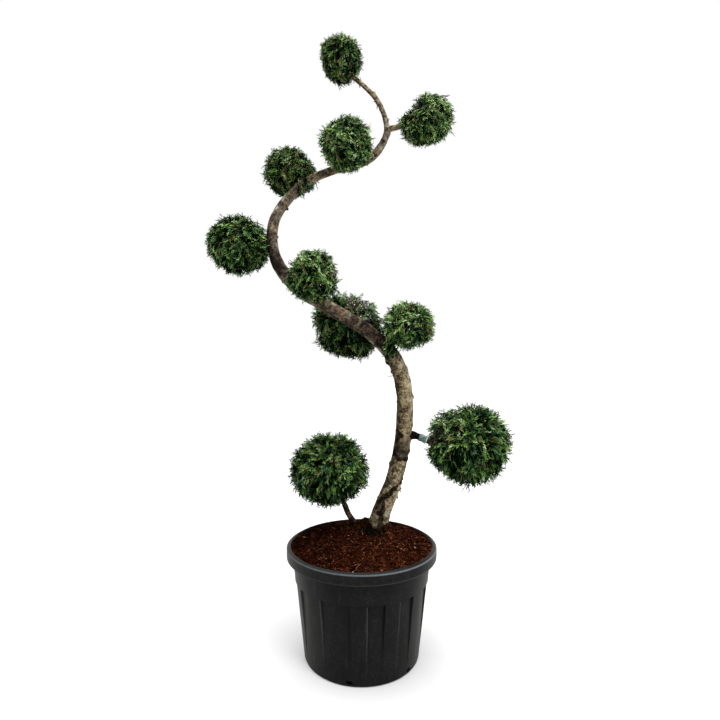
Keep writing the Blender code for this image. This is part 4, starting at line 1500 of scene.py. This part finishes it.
def grow_ball(name, limbs, chords, chance):
    """A ball's twigs, as lists of (place, radius), and the places of its sprays."""
    ball = BALLS[name]
    surface = Clipped(ball, chance)
    centre, half = surface.centre, surface.half
    twigs, mains = grow_twigs(ball, surface, chance)
    runs = []  # kind, root, tip, girth, tones

    def add(kind, root, tip, up, light=ball["light"]):
        tones = tone_of(tip, up, chance, light, ball.get("browned", BROWNED_SHARE))
        runs.append((kind, root, tip, 1.0, tones))

    count = round(4 * math.pi * surface.mean**2 / TWIG_AREA)
    for side in spread_directions(count, chance, 0.10):
        loose = loose_here(ball, side, chance)
        if 0 in loose:
            continue
        near = max(mains, key=lambda main: main[0].dot(side))[1]
        start = near[chance.choice((2, 3, 4))]
        end = surface(side, chance.uniform(0.74, 0.86))
        path = list(bent(start, end, random_vector(chance) * 0.006, 3))
        twigs.append([(p, 0.0020 - 0.0004 * i) for i, p in enumerate(path)])
        tuft = chance.gauss(0.0, 0.034)
        for _ in range(min(loose, default=OUTER_SPRAYS)):
            root = path[2].lerp(path[3], chance.random())
            tip_way = tip_near(surface, side, chance, 0.028, sink=0.16)
            reach = chance.uniform(0.82, 0.99) + tuft + (0.06 if chance.random() < 0.08 else 0.0)
            tip = surface(tip_way, reach)
            if (tip - root).length < 0.026:
                root = root.lerp(centre, 0.15)
            kind = chance.choices(range(len(SPRAYS)), [k[-1] for k in SPRAYS])[0]
            if loose:
                kind = TUFT
                tip = surface(tip_way, reach - chance.uniform(0.0, 0.24))
                root = tip + (root - tip).normalized() * TUFT_LENGTH
            add(kind, root, tip, tip_way.z)
        # Inner sprays, all in the near-black shade tone: painted shade deep in the ball.
        for _ in range(0 if loose else INNER_SPRAYS):
            tip_way = tip_near(surface, side, chance, 0.026)
            root = path[1].lerp(path[2], chance.random())
            tip = surface(tip_way, chance.uniform(0.66, 0.84))
            runs.append((PLUME, root, tip, 1.6, (0, 0, 0)))
    for stray_way, reach in ball.get("strays", ()):
        for _ in range(3):
            tip_way = (Vector(stray_way).normalized() + random_vector(chance) * 0.05).normalized()
            tip = centre + tip_way * half * (reach - chance.uniform(0, 0.05))
            add(STRAND, centre + tip_way * half * 0.76, tip, tip_way.z)

    clipped = len(runs)
    for root, tip, sprays in ball.get("drapes", ()):
        for _ in range(sprays):
            start, end = (Vector(place) + random_vector(chance) * 0.008 for place in (root, tip))
            add(chance.choice((SLIM, STRAND, STRAND, TUFT)), start, end, 0.0, ball["light"] - 0.22)

    # Sprays that would grow into a limb are left out, and only the drapes may lie over one.
    along = (0.25, 0.6, 1.0)
    samples = [root.lerp(tip, share) for _, root, tip, _, _ in runs[:clipped] for share in along]
    blocked = limbs.touch(np.array(samples), 0.004).reshape(-1, len(along)).any(axis=1)
    clear = [run for run, hit in zip(runs, blocked) if not hit]
    return twigs, [
        spray_place(chords, kind, root, tip, centre, girth, chance, tones)
        for kind, root, tip, girth, tones in clear + runs[clipped:]
    ]


def model_twigs(name, twigs, finish):
    """All of a ball's twigs as one mesh of thin four-sided tubes."""
    deselect()
    bpy.ops.object.add(type="CURVE")
    tubes = named(name)
    tubes.data.dimensions = "3D"
    tubes.data.bevel_depth = 1.0
    tubes.data.bevel_resolution = 0
    tubes.data.use_fill_caps = True
    for twig in twigs:
        spline = tubes.data.splines.new("POLY")
        spline.points.add(len(twig) - 1)
        for point, (place, radius) in zip(spline.points, twig):
            point.co = (*place, 1.0)
            point.radius = radius
    bpy.ops.object.convert(target="MESH")
    merge_doubles(tubes, 0.000005)
    shade(tubes)
    return dress(tubes, "foliage", finish)


def grow_foliage():
    chance = random.Random(SEED)
    templates, chords = spray_kit()
    tones = [
        plain("leaf_" + tone, colour, 0.5, min(0.2, colour[1])) for tone, colour in LEAF_TONES.items()
    ]
    twig_finish = plain("ball_twigs", (0.070, 0.045, 0.026), 0.85)
    limbs = Limbs()
    for name in BALLS:
        twigs, places = grow_ball(name, limbs, chords, chance)
        model_twigs(name.replace("ball_", "twigs_"), twigs, twig_finish)
        leaves = plant(name.replace("ball_", "leaves_"), templates, places)
        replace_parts(dress(leaves, "foliage", *tones), name)
    for template in templates:
        bpy.data.objects.remove(template)


# ---------------------------------------------------------------- stage

CEILING = 6.0  # brightness of the ceiling, with the walls at 1
CEILING_EDGE = (0.64, 0.85)  # sine of the height at which it starts, and is at its full brightness
KEY_PLACE = (2.2, -3.0, 4.2)
KEY_AIM = (0.0, 0.0, 1.2)
KEY_SIZE = 2.4
KEY_POWER = 190.0
CAMERA_PLACE = (-0.0064, -1.96, 1.161)
CAMERA_LENS = 24.5


def set_stage():
    deselect()
    bpy.ops.mesh.primitive_plane_add(size=60.0)
    floor = named("studio_floor")
    paper = Finish("studio_paper", (0.40, 0.40, 0.40), 0.9, specular=0.0)
    floor.data.materials.append(paper.material)

    # A white room with a wide, brighter ceiling.
    world = bpy.data.worlds.new("studio")
    bpy.context.scene.world = world
    world.use_nodes = True
    tree = world.node_tree
    spot = tree.nodes.new("ShaderNodeTexCoord")
    parts = tree.nodes.new("ShaderNodeSeparateXYZ")
    ramp = tree.nodes.new("ShaderNodeMapRange")
    ramp.interpolation_type = "SMOOTHSTEP"
    for socket, value in zip(ramp.inputs[1:], (*CEILING_EDGE, 1.0, CEILING)):
        socket.default_value = value
    background = tree.nodes["Background"].inputs
    tree.links.new(spot.outputs["Generated"], parts.inputs[0])
    tree.links.new(parts.outputs["Z"], ramp.inputs[0])
    tree.links.new(ramp.outputs[0], background["Strength"])
    background["Color"].default_value = (1.0, 1.0, 1.0, 1.0)

    deselect()
    aim = Vector(KEY_AIM) - Vector(KEY_PLACE)
    turn = aim.to_track_quat("-Z", "Y").to_euler()
    bpy.ops.object.light_add(type="AREA", location=KEY_PLACE, rotation=turn)
    key = bpy.context.object
    key.name = "key"
    key.data.shape = "DISK"
    key.data.size = KEY_SIZE
    key.data.energy = KEY_POWER

    deselect()
    bpy.ops.object.camera_add(location=CAMERA_PLACE, rotation=(math.pi / 2, 0, 0))
    camera = bpy.context.object
    camera.data.sensor_width = 36.0
    camera.data.lens = CAMERA_LENS
    bpy.context.scene.camera = camera
    bpy.context.scene.view_settings.view_transform = "Standard"


# ---------------------------------------------------------------- the whole tree

model_pot(pot_plastic())
model_mulch(mulch_bed())
scatter_chips(random.Random(SEED))
model_stem_and_boughs()
model_tape(tying_tape())
grow_foliage()
set_stage()
